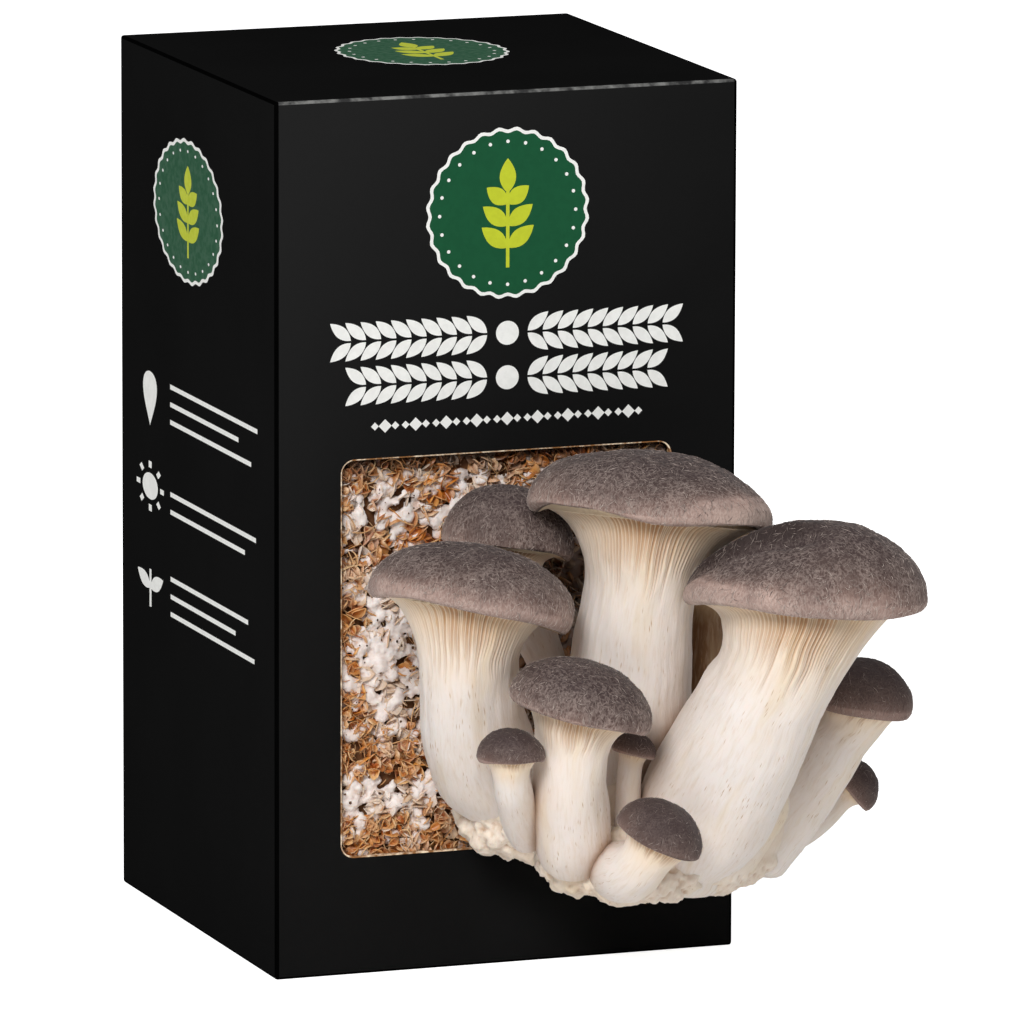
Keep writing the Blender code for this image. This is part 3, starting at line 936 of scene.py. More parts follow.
@dataclass(frozen=True)
class Mushroom:
    """One mushroom: a stem with gills and a cap, in millimetres."""

    name: str
    foot: Triple
    bend: Triple
    crown: Triple
    lean: Pair
    cap_radius: float
    cap_height: float
    neck_radius: float
    belly_radius: float
    foot_radius: float
    gills: int
    rim_right: float = 0.15
    slope_right: float = 0.24
    slope_left: float = 0.0
    cap_depth: float = 1.0
    stem_offset: float = 0.0
    fold: Fold | None = None
    tone: StemTone = StemTone.CREAM
    lip_right: float = 0.0
    pale: Triple = (0.0, 0.0, 2.5)
    dips: tuple[Triple, ...] = ()
    rim_wave: tuple[tuple[int, float, float], ...] = ()

    @property
    def seed(self) -> int:
        """A number of this mushroom's own for its random draws."""
        return int(abs(self.crown[0] * 7 + self.crown[2] * 13))

    @property
    def run(self) -> float:
        """How far down the stem the gills run."""
        return GILL_RUN * self.cap_radius

    def axes(self) -> tuple[np.ndarray, np.ndarray, np.ndarray]:
        """The cap's own axes.

        Returns:
            Unit vectors along its widest heading, away from that, and up.
        """
        up = unit(np.array([*self.lean, 1.0]))
        heading = np.array([math.cos(CAP_TURN), math.sin(CAP_TURN), 0.0])
        across = unit(heading - up * (up @ heading))
        return across, np.cross(up, across), up

    def outline(self, angle: np.ndarray) -> np.ndarray:
        """The cap's radius around its rim.

        Args:
            angle: angles round the cap, from its widest heading.

        Returns:
            Shares of its full radius.
        """
        phase = sum(self.crown)
        waver = 1 + 0.014 * np.cos(2 * angle + phase) + 0.010 * np.cos(3 * angle + 2 * phase)
        return waver / np.hypot(np.cos(angle), np.sin(angle) / self.cap_depth)

    def hang(self, angle: np.ndarray) -> np.ndarray:
        """How far the rim hangs below the cap's widest line.

        Args:
            angle: angles round the cap, from its widest heading.

        Returns:
            Shares of the radius.
        """
        right = (1 + np.cos(angle)) / 2
        drop = CAP_RIM_LEFT + (self.rim_right - CAP_RIM_LEFT) * right
        for order, cosine, sine in self.rim_wave:
            drop = drop + cosine * np.cos(order * angle) + sine * np.sin(order * angle)
        for place, width, depth in self.dips:
            off = (angle - math.radians(place) + np.pi) % math.tau - np.pi
            drop = drop + depth * np.exp(-(off / math.radians(width)) ** 2)
        return drop

    def cap_profile(self, rings: int) -> tuple[np.ndarray, ...]:
        """The cap's section from its crown out, over the rim and in along the underside.

        Args:
            rings: rings on the upper side.

        Returns:
            For each ring its share of the radius, height, hang and depth of the underside, and
            how far out it lies: 0 at the crown, 1 at the widest line, 1.5 at the rim's lip and 2
            on the underside.
        """
        arch = np.pi / 2 * (np.arange(1, rings + 1) / rings)
        roll = np.pi / 2 * np.arange(1, rings // 4 + 1) / (rings // 4)
        curl = np.pi / 2 * np.arange(1, rings // 6 + 1) / (rings // 6)
        flat = np.linspace(CAP_RIM_IN, 0.3, 8)[1:]
        none = np.zeros
        share = np.concatenate([np.sin(arch) ** CAP_FULLNESS, 1 - 0.09 * (1 - np.cos(roll)),
                                0.91 - 0.05 * np.sin(curl), flat])
        rise = np.concatenate([np.maximum(0, np.cos(arch)) ** CAP_FULLNESS,
                               none(len(roll) + len(curl) + len(flat))])
        hang = np.concatenate([none(len(arch)), np.sin(roll), np.cos(curl), none(len(flat))])
        under = np.concatenate([none(len(arch) + len(roll)), 1 - np.cos(curl), np.ones(len(flat))])
        reach = np.concatenate([arch / arch[-1], 1 + 0.5 * roll / roll[-1],
                                1.5 + 0.5 * curl / curl[-1], np.full(len(flat), 2.0)])
        return share, rise, hang, under, reach

    def cap_grid(self, rings: int, columns: int) -> tuple[np.ndarray, np.ndarray, np.ndarray]:
        """The cap's surface.

        Args:
            rings: rings on the upper side.
            columns: points in each ring.

        Returns:
            The points, as rings by columns by 3, how far out each ring lies, and the angles.
        """
        across, away, up = self.axes()
        share, rise, hang, under, reach = (a[:, None] for a in self.cap_profile(rings))
        angle = math.tau * np.arange(columns) / columns
        radius = share * self.cap_radius * self.outline(angle)[None, :]
        slope = 1 + (self.slope_right * (1 + np.cos(angle)) + self.slope_left * (1 - np.cos(angle))) / 2
        slope = 1 + (slope[None, :] - 1) * (1 - share**7)
        height = rise**slope * self.cap_height
        if self.fold:
            end = math.atan2(self.fold.start[1] + 9, self.fold.start[0])
            notch = np.maximum(0, np.cos(angle - end))[None, :] ** 40
            radius = radius * (1 - 0.06 * notch * share**3)
            sink = self.fold.lowering(radius * np.cos(angle), radius * np.sin(angle))
            height = height - sink * np.sqrt(np.clip(1 - share**8, 0, 1)) * (reach <= 1)
        height = height - hang * self.hang(angle)[None, :] * self.cap_radius
        height = height - under * CAP_UNDERSIDE * self.cap_radius
        flat = np.stack([radius * np.cos(angle), radius * np.sin(angle), height], -1)
        places = flat.reshape(-1, 3)
        size = self.cap_radius
        swell = 0.010 * Ripple(size * 0.8, self.seed)(places) + 0.0035 * Ripple(
            size * 0.22, self.seed + 1)(places) + 0.05 / size * Ripple(2.2, self.seed + 2)(places)
        swell = swell.reshape(radius.shape) * np.clip(2 - reach, 0, 1) * np.minimum(1, share * 3)
        scale = 1 + 0.22 * swell * np.clip(3 - 2 * reach, 0, 1)
        height = height + np.where(reach <= 1.4, swell * size * rise, 0)
        points = np.array(self.crown) + (radius * scale * np.cos(angle))[..., None] * across
        points = points + (radius * scale * np.sin(angle))[..., None] * away + height[..., None] * up
        return points, reach[:, 0], angle

    def build_cap(self, skin: Material) -> tuple[np.ndarray, np.ndarray]:
        """Builds the cap.

        Args:
            skin: its material.

        Returns:
            The grid of the cap's surface and how far out each ring lies.
        """
        radius = self.cap_radius
        rings = int(np.clip(radius * 1.35, 18, 48))
        columns = int(np.clip(radius * 4.4, 56, 160))
        grid, reach, angle = self.cap_grid(rings, columns)
        _, _, up = self.axes()
        top = grid[0].mean(0) + up * 0.02
        points, faces = capped_tube(grid, top, grid[-1].mean(0))
        lengths = np.concatenate([[0], np.cumsum(np.linalg.norm(np.diff(grid, axis=0), axis=-1)
                                                 .mean(1))])
        fibre = np.stack(np.broadcast_arrays(radius * np.cos(angle), radius * np.sin(angle),
                                             lengths[:, None] * 0.42), -1).reshape(-1, 3)
        poles = np.array([[0, 0, 0], [0, 0, lengths[-1]]])
        heading, amount, power = self.pale
        paler = np.maximum(0, np.cos(angle - math.radians(heading))) ** power * amount
        tone = np.minimum(reach, 1.1)[:, None] + paler[None, :] * ease((reach - 0.4) / 0.5)[:, None]
        tone = np.append((tone - 0.07 * (radius < 25)).ravel(), [0, 2])
        groove = np.zeros(len(points))
        if self.fold:
            across, away, _ = self.axes()
            spots = points - np.array(self.crown)
            groove = self.fold.shade(spots @ across, spots @ away)
            # painted highlight: paler along the fold's near edge
            tone = tone + 0.08 * self.fold.crest(spots @ across, spots @ away)
        mesh = MeshParts()
        mesh.add(points, faces, reach=np.concatenate([np.repeat(reach, columns), [0, 2]]),
                 tone=tone, fibre=np.concatenate([fibre, poles]), groove=groove)
        mount_piece(mesh.build(f"{self.name}_cap", [skin]), "grey_brown_velvet",
                    f"cap_{self.name}")
        return grid, reach

    def build_fibrils(self, grid: np.ndarray, reach: np.ndarray, hairs: Material) -> None:
        """Lays loose hairs on the cap.

        Args:
            grid: the cap's surface.
            reach: how far out each of its rings lies.
            hairs: their material.
        """
        rng = np.random.default_rng(self.seed + 5)
        radius = self.cap_radius
        count = int(FIBRIL_DENSITY * radius**2) + 80
        usable = int(np.searchsorted(reach, 1.42))
        rings, columns = grid.shape[:2]
        down = unit(np.gradient(grid, axis=0))
        round_ = unit(np.roll(grid, -1, 1) - np.roll(grid, 1, 1))
        normal = unit(np.cross(down, round_))
        ring_step = np.linalg.norm(np.gradient(grid, axis=0), axis=-1)
        column_step = np.linalg.norm(np.roll(grid, -1, 1) - grid, axis=-1)
        area = (ring_step * column_step)[:usable]
        spot = rng.choice(area.size, size=count, p=(area / area.sum()).ravel())
        ring = spot // columns + rng.uniform(0, 1, count)
        column = (spot % columns) + rng.uniform(0, 1, count)
        out = reach[np.minimum(ring.astype(int), usable - 1)]
        bright = 0.2 + 0.5 * out**3 + 0.28 * rng.normal(size=count) - 0.15 * (radius < FINE_CAP)
        bright = np.clip(bright, 0, 1)
        heading = rng.normal(size=count) * (1.5 - 1.0 * np.clip(out, 0, 1))
        turn = rng.normal(size=count) * 0.28
        length = (0.7 + 2.6 * rng.uniform(size=count) ** 1.6) * (0.6 + 0.4 * min(1, radius / 25))
        steps = 3
        paths, ups = [], []
        for step in range(steps):
            i = np.clip(ring, 0, usable - 1)
            low = i.astype(int)
            high = np.minimum(low + 1, rings - 1)
            left = column.astype(int) % columns
            right = (left + 1) % columns
            fi, fj = (i - low)[:, None], (column % 1)[:, None]
            here = (grid[low, left] * (1 - fi) + grid[high, left] * fi) * (1 - fj)
            here = here + (grid[low, right] * (1 - fi) + grid[high, right] * fi) * fj
            up = normal[low, left]
            lift = 0.03 + 0.11 * math.sin(math.pi * step / (steps - 1))
            paths.append(here + up * lift)
            ups.append(up)
            stride = length / (steps - 1)
            ring = ring + np.cos(heading) * stride / ring_step[low, left].clip(0.05)
            column = (column + np.sin(heading) * stride / column_step[low, left].clip(0.05)) % columns
            heading = heading + turn
        paths, ups = np.stack(paths, 1), np.stack(ups, 1)
        whole = np.linalg.norm(np.diff(paths, axis=1), axis=-1).max(1) < 2.5
        paths, ups = paths[whole], ups[whole]
        widths = rng.uniform(*FIBRIL_WIDTH, len(paths)) * min(1, 0.5 + radius / 45)
        points, faces = strand_mesh(paths, ups, widths, (0.4, 1, 0.3))
        mesh = MeshParts()
        mesh.add(points, faces, tone=np.repeat(bright[whole], steps * 3))
        mount_piece(mesh.build(f"{self.name}_fibrils", [hairs]), "grey_brown_velvet")

    def spine(self) -> tuple[np.ndarray, np.ndarray, np.ndarray, np.ndarray]:
        """The stem's middle line from the crown to the foot.

        Returns:
            Its points, two axes across it at each point, and the distance run.
        """
        across, _, up = self.axes()
        crown = np.array(self.crown) + across * self.stem_offset
        under = crown - up * self.cap_radius
        bend, foot = np.array(self.bend), np.array(self.foot)
        t = np.linspace(0, 1, SPINE_STEPS + 1)[:, None]
        s = 1 - t
        points = crown * s**3 + under * 3 * s * s * t + bend * 3 * s * t * t + foot * t**3
        down = unit((under - crown) * s * s + (bend - under) * 2 * s * t + (foot - bend) * t * t)
        first = []
        for heading in down:
            across = unit(across - heading * (across @ heading))
            first.append(across)
        first = np.array(first)
        return points, first, np.cross(-down, first), distance_along(points)

    def body_radius(self, distance: np.ndarray, length: float) -> np.ndarray:
        """The stem's radius without its flare.

        Args:
            distance: distances below the crown.
            length: the whole stem's length.

        Returns:
            The radius at each distance.
        """
        share = np.minimum(distance / length, 1.0)
        swelling = np.minimum(share / BELLY_AT, 1.0) ** BELLY_EASE
        body = self.neck_radius + (self.belly_radius - self.neck_radius) * np.sin(np.pi / 2 * swelling)
        past = np.maximum(0, (share - BELLY_AT) / (1 - BELLY_AT))
        return body + (self.foot_radius - self.belly_radius) * past**2

    def crowd_shading(self, points: np.ndarray) -> np.ndarray:
        """How hemmed in by other stems these places are, which sets the painted shade darkening the
        crevices between them.

        Args:
            points: places on this stem.

        Returns:
            From 0 to 1.
        """
        most = np.zeros(len(points))
        for other in MUSHROOMS:
            if other is self:
                continue
            line, _, _, run = other.spine()
            away = np.linalg.norm(points[:, None, :] - line[None, ::3], axis=2)
            gap = np.maximum(0, (away - other.body_radius(run, run[-1])[None, ::3]).min(1))
            most = np.maximum(most, 0.6 * np.exp(-(gap / 1.8) ** 2) + 0.28 * np.exp(-(gap / 7) ** 2))
        return most

    def build_stem(self, flesh: Material) -> None:
        """Builds the stem with its flare and gills.

        Args:
            flesh: its material.
        """
        line, first, second, run = self.spine()
        length, radius = run[-1], self.cap_radius
        top = CAP_UNDERSIDE * radius - SEAT_DEPTH
        spacing = np.clip(radius / 30, 0.7, 1.1)
        gilled = top + (self.run - top) * np.linspace(0, 1, int((self.run - top) / spacing)) ** 1.25
        plain = np.linspace(self.run, length, int((length - self.run) / (3.2 * spacing)))[1:]
        distance = np.concatenate([gilled, plain])
        share = np.tile(GILL_COLUMNS, self.gills)
        number = np.repeat(np.arange(self.gills), len(GILL_COLUMNS))
        angle = math.tau * (number + share) / self.gills
        columns = len(angle)
        fade = np.maximum(0, 1 - distance / self.run)
        across, away, up = self.axes()
        settled = ease((distance - top) / (0.3 * self.run))[:, None]
        middle, ax, ay = (np.stack([np.interp(distance, run, track[:, k]) for k in range(3)], -1)
                          for track in (line, first, second))
        ax, ay = unit(ax), unit(ay)
        middle = middle - ax * (self.stem_offset * fade)[:, None]
        seat = np.array(self.crown) - up * distance[:, None]
        middle = seat * (1 - settled) + middle * settled
        ax = unit(across * (1 - settled) + ax * settled)
        ay = unit(away * (1 - settled) + ay * settled)
        lip = GILL_REACH * radius * self.outline(angle)
        lip = lip * (1 + self.lip_right * np.maximum(0, np.cos(angle)))
        body = self.body_radius(distance, length)
        wide = body[:, None] + (lip[None, :] - self.neck_radius) * fade[:, None] ** FLARE_POWER
        wide = wide + 0.09 * radius * np.exp(-(distance - top) / (0.03 * radius))[:, None]
        rng = np.random.default_rng(self.seed + 9)
        flat = np.stack(np.broadcast_arrays(
            body[:, None] * np.cos(angle), body[:, None] * np.sin(angle), distance[:, None]),
            -1).reshape(-1, 3)
        wobble = Ripple(0.3 * radius, self.seed + 3)(flat).reshape(wide.shape)
        turned = angle[None, :] + 0.2 * wobble * math.tau / self.gills
        size = float(np.clip(radius / 26, 0.4, 1))
        reach_main = rng.uniform(0.36, 0.78, self.gills) * size
        reach_half = rng.uniform(0.1, 0.4, self.gills) * size * (rng.uniform(size=self.gills) < 0.4)
        down = (distance / self.run)[:, None]
        near = np.where(share <= 0.5, number, (number + 1) % self.gills)
        second_crest = (share == 0.5) * ease((reach_half[number] - down) / 0.3)
        depth = np.clip(1 - down / reach_main[near], 0, 1) ** 0.85
        hollow = (1 - np.maximum(share == 0, second_crest)) * depth
        hollow = hollow * (0.22 + 0.78 * np.abs(np.sin(angle)) ** 2.6)[None, :]
        wide = wide - GILL_DEPTH * radius * hollow
        lumps = 0.16 * Ripple(15, self.seed + 4)(flat) + 0.05 * Ripple(5, self.seed + 6)(flat)
        furrows = Ripple(3.2, self.seed + 7)(flat * np.array([1, 1, 0.13]))
        calm = np.clip(1.2 - depth.max(1), 0.15, 1)[:, None]
        relief = (lumps + 0.045 * furrows).reshape(wide.shape) * calm * min(1, radius / 20)
        wide = wide + relief
        rings = middle[:, None] + wide[..., None] * (
            np.cos(turned)[..., None] * ax[:, None] + np.sin(turned)[..., None] * ay[:, None])
        heading = unit(line[-1] - line[-2])
        turn = np.linspace(0, np.pi / 2, 7)[1:-1]
        end = [middle[-1] + heading * 0.62 * self.foot_radius * math.sin(a)
               + (rings[-1] - middle[-1]) * math.cos(a) for a in turn]
        tip = middle[-1] + heading * 0.62 * self.foot_radius
        rings = np.concatenate([rings, np.array(end)])
        points, faces = capped_tube(rings, middle[0], tip)
        tail = len(rings) - len(distance)
        far = np.concatenate([distance, np.full(tail, length)])
        grain = np.stack(np.broadcast_arrays(
            self.belly_radius * np.cos(angle)[None, :], self.belly_radius * np.sin(angle)[None, :],
            0.16 * far[:, None]), -1).reshape(-1, 3)
        sunk = np.concatenate([hollow, np.zeros((tail, columns))])
        mesh = MeshParts()
        flare = np.clip(1 - far / self.run, 0, 1)[:, None] * (0.6 + 0.4 * np.abs(np.sin(angle)))
        mesh.add(points, faces, grain=np.concatenate([grain, grain[:2]]),
                 hollow=np.concatenate([sunk.ravel(), [0, 0]]), flare=np.append(flare.ravel(), [0, 0]),
                 crowded=self.crowd_shading(points))
        mount_piece(mesh.build(f"{self.name}_stem", [flesh]), "cream_flesh", f"stem_{self.name}")


MUSHROOMS = (
    Mushroom("right_large", (37.5, -130, 38.5), (44.8, -136, 74), (62.9, -164, 126.9),
             (0.06, 0.12), 36.8, 24, 17.6, 21, 13.5, 116, rim_right=0.20, slope_right=0.02,
             slope_left=0.38, cap_depth=0.88, stem_offset=-6.8, fold=Fold(), pale=(208, 0.32, 5),
             rim_wave=((0, -0.022, 0), (1, -0.038, 0.012), (2, -0.018, 0.004),
                       (3, -0.020, 0.007), (5, -0.009, 0))),
    Mushroom("centre_tall", (29.5, -103, 54), (24.2, -113, 90.9), (28.1, -125, 148.4),
             (0.15, 0.11), 37.3, 18.9, 15.8, 19.6, 15, 116, rim_right=0.09, slope_right=0.38,
             cap_depth=0.87, stem_offset=-1, lip_right=0.08, pale=(-16, 0.6, 3),
             dips=((10, 24, 0.08), (46, 22, 0.12), (182, 14, 0.04)),
             rim_wave=((0, -0.025, 0), (1, -0.017, 0.023), (2, -0.012, -0.006),
                       (3, -0.013, 0.022), (4, 0.013, 0))),
    Mushroom("left_large", (-6.2, -89, 55), (-21.6, -105, 76.1), (-29.4, -125, 124.6),
             (0.18, 0.10), 31.4, 17.7, 14.2, 16.8, 10, 100, rim_right=0.20, cap_depth=0.92,
             pale=(195, 0.15, 2.5), stem_offset=1,
             rim_wave=((0, -0.014, 0), (1, -0.017, 0.030), (2, 0.022, 0.004),
                       (3, -0.005, 0.002), (4, 0.013, 0))),
    Mushroom("front_middle", (-0.3, -135, 47), (-5.4, -147, 66.1), (-4.9, -153, 95.6),
             (0.25, -0.09), 21.8, 14.4, 10.6, 12, 10.5, 80, rim_right=0.17,
             rim_wave=((0, -0.011, 0), (1, -0.049, 0.027), (2, 0.015, 0.029), (4, 0.011, 0))),
    Mushroom("back_left", (17, -85, 62), (12, -97, 97), (-7, -95, 135.6),
             (0.20, 0.07), 20.4, 18, 7.6, 5.6, 5, 62, cap_depth=0.86, stem_offset=3,
             rim_wave=((0, -0.019, 0), (1, -0.069, 0.044), (2, 0.033, 0.028), (4, 0.018, 0))),
    Mushroom("right_middle", (67, -118, 38), (82.5, -119, 60.6), (98.5, -123, 84.7),
             (0.13, 0.03), 15.7, 13.6, 9.6, 10.4, 9.5, 60, stem_offset=-4.4,
             rim_wave=((0, 0.054, 0), (1, -0.009, -0.057), (3, 0.003, -0.011))),
    Mushroom("front_low", (11.5, -140, 41), (10.6, -155, 45), (15.1, -167, 57),
             (0.42, -0.27), 13.7, 11.2, 7.2, 9.6, 8.6, 54,
             rim_wave=((0, -0.041, 0), (1, -0.058, 0.053), (2, 0.005, 0.032), (3, 0, 0.019))),
    Mushroom("front_small", (-13.4, -130, 52), (-22.4, -145, 66.9), (-28.1, -156, 82.8),
             (0.03, -0.01), 10.2, 8.4, 5.5, 6.2, 5.5, 44,
             rim_wave=((1, -0.062, 0.028), (2, 0.033, 0.035), (4, 0.011, 0.012))),
    Mushroom("right_small", (79.7, -108, 40), (95.4, -105, 45.9), (103, -103, 53.8),
             (1.10, -0.35), 9.1, 8.6, 4.2, 5, 4.8, 40),
    Mushroom("middle_small", (19.7, -129, 49), (16.7, -137, 65.6), (17.8, -139, 78.3),
             (0.27, -0.10), 6.8, 5.5, 3.6, 4, 3.6, 34,
             rim_wave=((0, 0.04, 0), (1, -0.07, 0), (2, 0.05, 0.02))),
    Mushroom("back_small", (55, -97, 55), (56, -101, 90.4), (56, -101, 117.7),
             (0.10, 0.05), 11, 9, 7, 8.4, 9, 50, tone=StemTone.SHADED_CREAM),
)


@dataclass(frozen=True)
class ClusterFoot:
    """The lumpy foot that all the stems grow from, out through the window."""

    masses: tuple = (
        ((18, -82, 52.5), (31, 17, 13)),
        ((30, -110, 46), (36, 27, 13)),
        ((-8, -94, 52.5), (11.5, 17, 11.5)),
        ((61, -114, 42), (23, 14, 10)),
        ((9, -125, 42.5), (14, 16, 9)),
        ((28, -131, 39.5), (20, 14, 9.5)),
    )
    aprons: tuple = (
        ((78, -117, 56), (59, -122, 39), 9.5),
        ((89, -106, 48), (68, -112, 41), 4.6),
        ((57, -132, 58), (47, -131, 43), 13.5),
        ((24, -118, 58), (26, -124, 44), 11),
        ((12, -143, 40), (18, -139, 40), 9),
    )
    nodules: int = 760
    nodule_radius: Pair = (1.0, 4.0)
    nodule_top: float = 52.0
    nodule_top_left: float = 63.0
    left_to: float = 5.0
    nodule_top_right: float = 38.5
    right_from: float = 40.0
    right_end: float = 66.0
    lowest: float = 29.8
    front: float = -75.0
    voxel: float = 0.93
    buried: float = 0.87  # a nodule that lies deeper than this in a mass wouldn't show
    seed: int = 11
    flesh: Flesh = Flesh("cream_foot", linear(243, 230, 216), linear(234, 216, 195),
                         linear(174, 124, 74), 0.5, 0.85)

    def highest(self, x: np.ndarray) -> np.ndarray:
        """How high the nodules may sit, at these places across."""
        top = np.where(x < self.right_from, self.nodule_top, self.nodule_top_right)
        return np.where(x < self.left_to, self.nodule_top_left, top)

    def lumps(self) -> list[tuple[np.ndarray, np.ndarray]]:
        """The rounded masses and the nodules that crowd over them.

        Returns:
            Centre and half-widths of each.
        """
        rng = np.random.default_rng(self.seed)
        found = [(np.array(c), np.array(h)) for c, h in self.masses]
        for start, end, radius in self.aprons:
            for share in np.linspace(0, 1, 9):
                spot = np.array(start) * (1 - share) + np.array(end) * share
                found.append((spot, np.full(3, radius)))
        placed = 0
        while placed < self.nodules:
            centre, half = self.masses[rng.integers(len(self.masses))]
            spot = np.array(centre) + np.array(half) * unit(rng.normal(size=3))
            radius = self.nodule_radius[0] + (self.nodule_radius[1] - self.nodule_radius[0]) \
                * rng.uniform() ** 1.7
            buried = any((((spot - np.array(c)) / np.array(h)) ** 2).sum() < self.buried
                         for c, h in self.masses)
            top = self.highest(spot[:1])[0]
            if buried or spot[0] > self.right_end or spot[2] - radius < self.lowest or spot[2] > top \
                    or spot[1] > self.front - radius:
                continue
            found.append((spot, radius * rng.uniform(0.8, 1.15, 3)))
            placed += 1
        return found

    def build(self) -> None:
        """Builds the foot."""
        mesh = fused_balls("foot_skin", self.lumps(), self.voxel, 2)
        points, normals, edges = mesh_arrays(mesh)
        fine = 0.24 * Ripple(2.6, 31, 26)(points) + 0.1 * Ripple(1.5, 32, 26)(points)
        lumpy = ease((self.highest(points[:, 0]) + 3 - points[:, 2]) / 6)
        points = points + normals * (fine * (0.12 + 0.88 * lumpy))[:, None]
        low_enough = points[:, 2] < self.lowest
        points[low_enough, 2] = self.lowest
        # painted shade, partly the foot's own tan: its crevices are darkened
        sunk = hollowness(points, normals, edges)
        faces = [tuple(p.vertices) for p in mesh.polygons]
        made = MeshParts()
        slant = np.stack([points[:, 0] - 0.55 * points[:, 2], points[:, 1], 0.2 * points[:, 2]], -1)
        made.add(points, faces, hollow=np.clip(sunk / 0.7 - 0.12, 0, 0.9), grain=slant)
        mount_piece(made.build("nodular_foot", [self.flesh.build()]), "nodular_flesh", "cluster_foot")
        bpy.data.meshes.remove(mesh)


@dataclass(frozen=True)
class Block:
    """What shows of the block in the window: threads, husks, straw and dark specks."""

    half_width: float = 56.0
    low: float = 34.0
    high: float = 163.5
    face: float = -69.0
    front: float = -73.3
    tufts: int = 2700
    amber_husks: int = 1150
    white_husks: int = 600
    straws: int = 950
    specks: int = 900
    tuft_radius: Pair = (0.7, 2.6)
    thread_cell: float = 0.78
    husk_length: Pair = (1.2, 3.4)  # half of it, like the radii
    husk_shell: float = 0.07
    straw_length: Pair = (2.5, 10.5)
    speck_radius: Pair = (0.14, 0.42)
    bare_patches: tuple[Triple, ...] = (
        (-36, 134, 7), (-48, 125, 6), (-48, 109, 8), (-25, 148, 9), (0, 155, 9), (-48, 82, 7),
        (-46, 67, 9), (-36, 62, 6), (-41, 44, 9), (-28, 41, 9), (-18, 44, 8), (-52, 155, 8),
        (20, 157, 9), (-8, 125, 9), (-30, 75, 5))
    white_patches: tuple[Triple, ...] = (
        (-46, 143, 8), (-32, 145, 6), (-38, 121, 7), (-42, 97, 8), (-34, 103, 8), (-38, 88, 6),
        (-44, 58, 6), (-33, 54, 6), (-14, 138, 7))
    # places between the stems where the block lies back and takes a painted shadow
    hollows: tuple[tuple[float, ...], ...] = ((16, 112, 19, 36), (50, 105, 16, 30))
    seed: int = 23
    core: Crumb = Crumb("grain_mass", linear(84, 46, 20), linear(180, 132, 86), 300, 0.8)
    crust: Crumb = Crumb("white_thread_crust", linear(166, 108, 58), linear(247, 240, 236), 500, 0.8,
                         0.15)
    amber: Crumb = Crumb("amber_husk", linear(150, 64, 10), linear(232, 146, 54), 260, 0.4, 0.3,
                         linear(255, 226, 176), 0.4)
    whitened: Crumb = Crumb("whitened_husk", linear(214, 180, 152), linear(246, 236, 228), 420, 0.6,
                            0.3, linear(220, 160, 90), 0.4)
    straw: Crumb = Crumb("pale_straw", linear(184, 110, 38), linear(246, 214, 164), 260, 0.45)
    crumb: Crumb = Crumb("dark_crumb", linear(40, 26, 16), linear(110, 74, 42), 300)

    def spots(self, rng: np.random.Generator, count: int) -> np.ndarray:
        """Random places over the window, across and up."""
        return np.stack([rng.uniform(-self.half_width, self.half_width, count),
                         rng.uniform(self.low, self.high, count)], -1)

    def whiteness(self, spots: np.ndarray) -> np.ndarray:
        """Above 0 where the white threads have covered the husks, below 0 where husks show.

        Args:
            spots: places across and up.

        Returns:
            One value a place.
        """
        places = np.concatenate([spots, np.zeros((len(spots), 1))], 1)
        edge = np.minimum(self.half_width - np.abs(spots[:, 0]),
                          np.minimum(spots[:, 1] - self.low, self.high - spots[:, 1]))
        value = 0.45 * Ripple(22, 41)(places) + 0.45 * Ripple(8, 42)(places) + 1.1 * ease(edge / 12)
        for patches, weight in ((self.bare_patches, -1.5), (self.white_patches, 1.1)):
            for x, z, radius in patches:
                away = (spots[:, 0] - x) ** 2 + (spots[:, 1] - z) ** 2
                value = value + weight * np.exp(-away / radius**2)
        return value - 0.12

    def recess(self, spots: np.ndarray) -> np.ndarray:
        """How far the block lies back, under the top edge and between the stems, which also sets the
        painted shadow there.

        Args:
            spots: places across and up.

        Returns:
            From 0 to 1 for each place.
        """
        back = ease((spots[:, 1] - self.high + 12.5) / 9)
        for x, z, width, height in self.hollows:
            away = ((spots[:, 0] - x) / width) ** 2 + ((spots[:, 1] - z) / height) ** 2
            back = np.maximum(back, 0.9 * np.exp(-away**2))
        return back

    def build_threads(self) -> None:
        """Builds the white crust of threads."""
        rng = np.random.default_rng(self.seed)
        spots = self.spots(rng, self.tufts)
        white, back = self.whiteness(spots), self.recess(spots)
        balls = []
        for (x, z), w, sunk in zip(spots, white, back):
            if w < rng.uniform(-1.3, 0.3):
                continue
            radius = rng.uniform(*self.tuft_radius)
            y = self.face - (rng.uniform(-0.4, 2.2) + 0.6 * min(max(w, 0), 1.2)) * (1 - 0.7 * sunk)
            y = max(y, self.front + radius * 0.7)
            balls.append((np.array([x, y, z]), radius * rng.uniform(0.7, 1.2, 3) * (1.0, 0.7, 1.0)))
        mesh = fused_balls("thread_skin", balls, self.thread_cell, 1)
        points, normals, edges = mesh_arrays(mesh)
        fine = 0.16 * Ripple(1.7, 43, 26)(points) + 0.10 * Ripple(1.0, 44, 26)(points)
        points = points + normals * fine[:, None]
        points[:, 1] = np.maximum(points[:, 1], self.front)
        sunk = np.clip(hollowness(points, normals, edges) / 0.4, 0, 1)
        deep = np.clip((points[:, 1] - self.face + 2.2) / 2.2, 0, 1)
        spots = points[:, [0, 2]]
        # painted shade: the threads are darker in crevices and further back
        tone = 0.98 - 0.5 * sunk - 0.6 * deep**1.5 + 0.12 * self.whiteness(spots)
        # painted shadow: darker still in the recess
        gloom = self.recess(spots)
        made = MeshParts()
        made.add(points, [tuple(face.vertices) for face in mesh.polygons],
                 tone=tone.clip(0, 1) * (1 - 0.7 * gloom), gloom=gloom**1.5)
        mount_piece(made.build("white_threads", [self.crust.build()]), "grain_and_threads")
        bpy.data.meshes.remove(mesh)

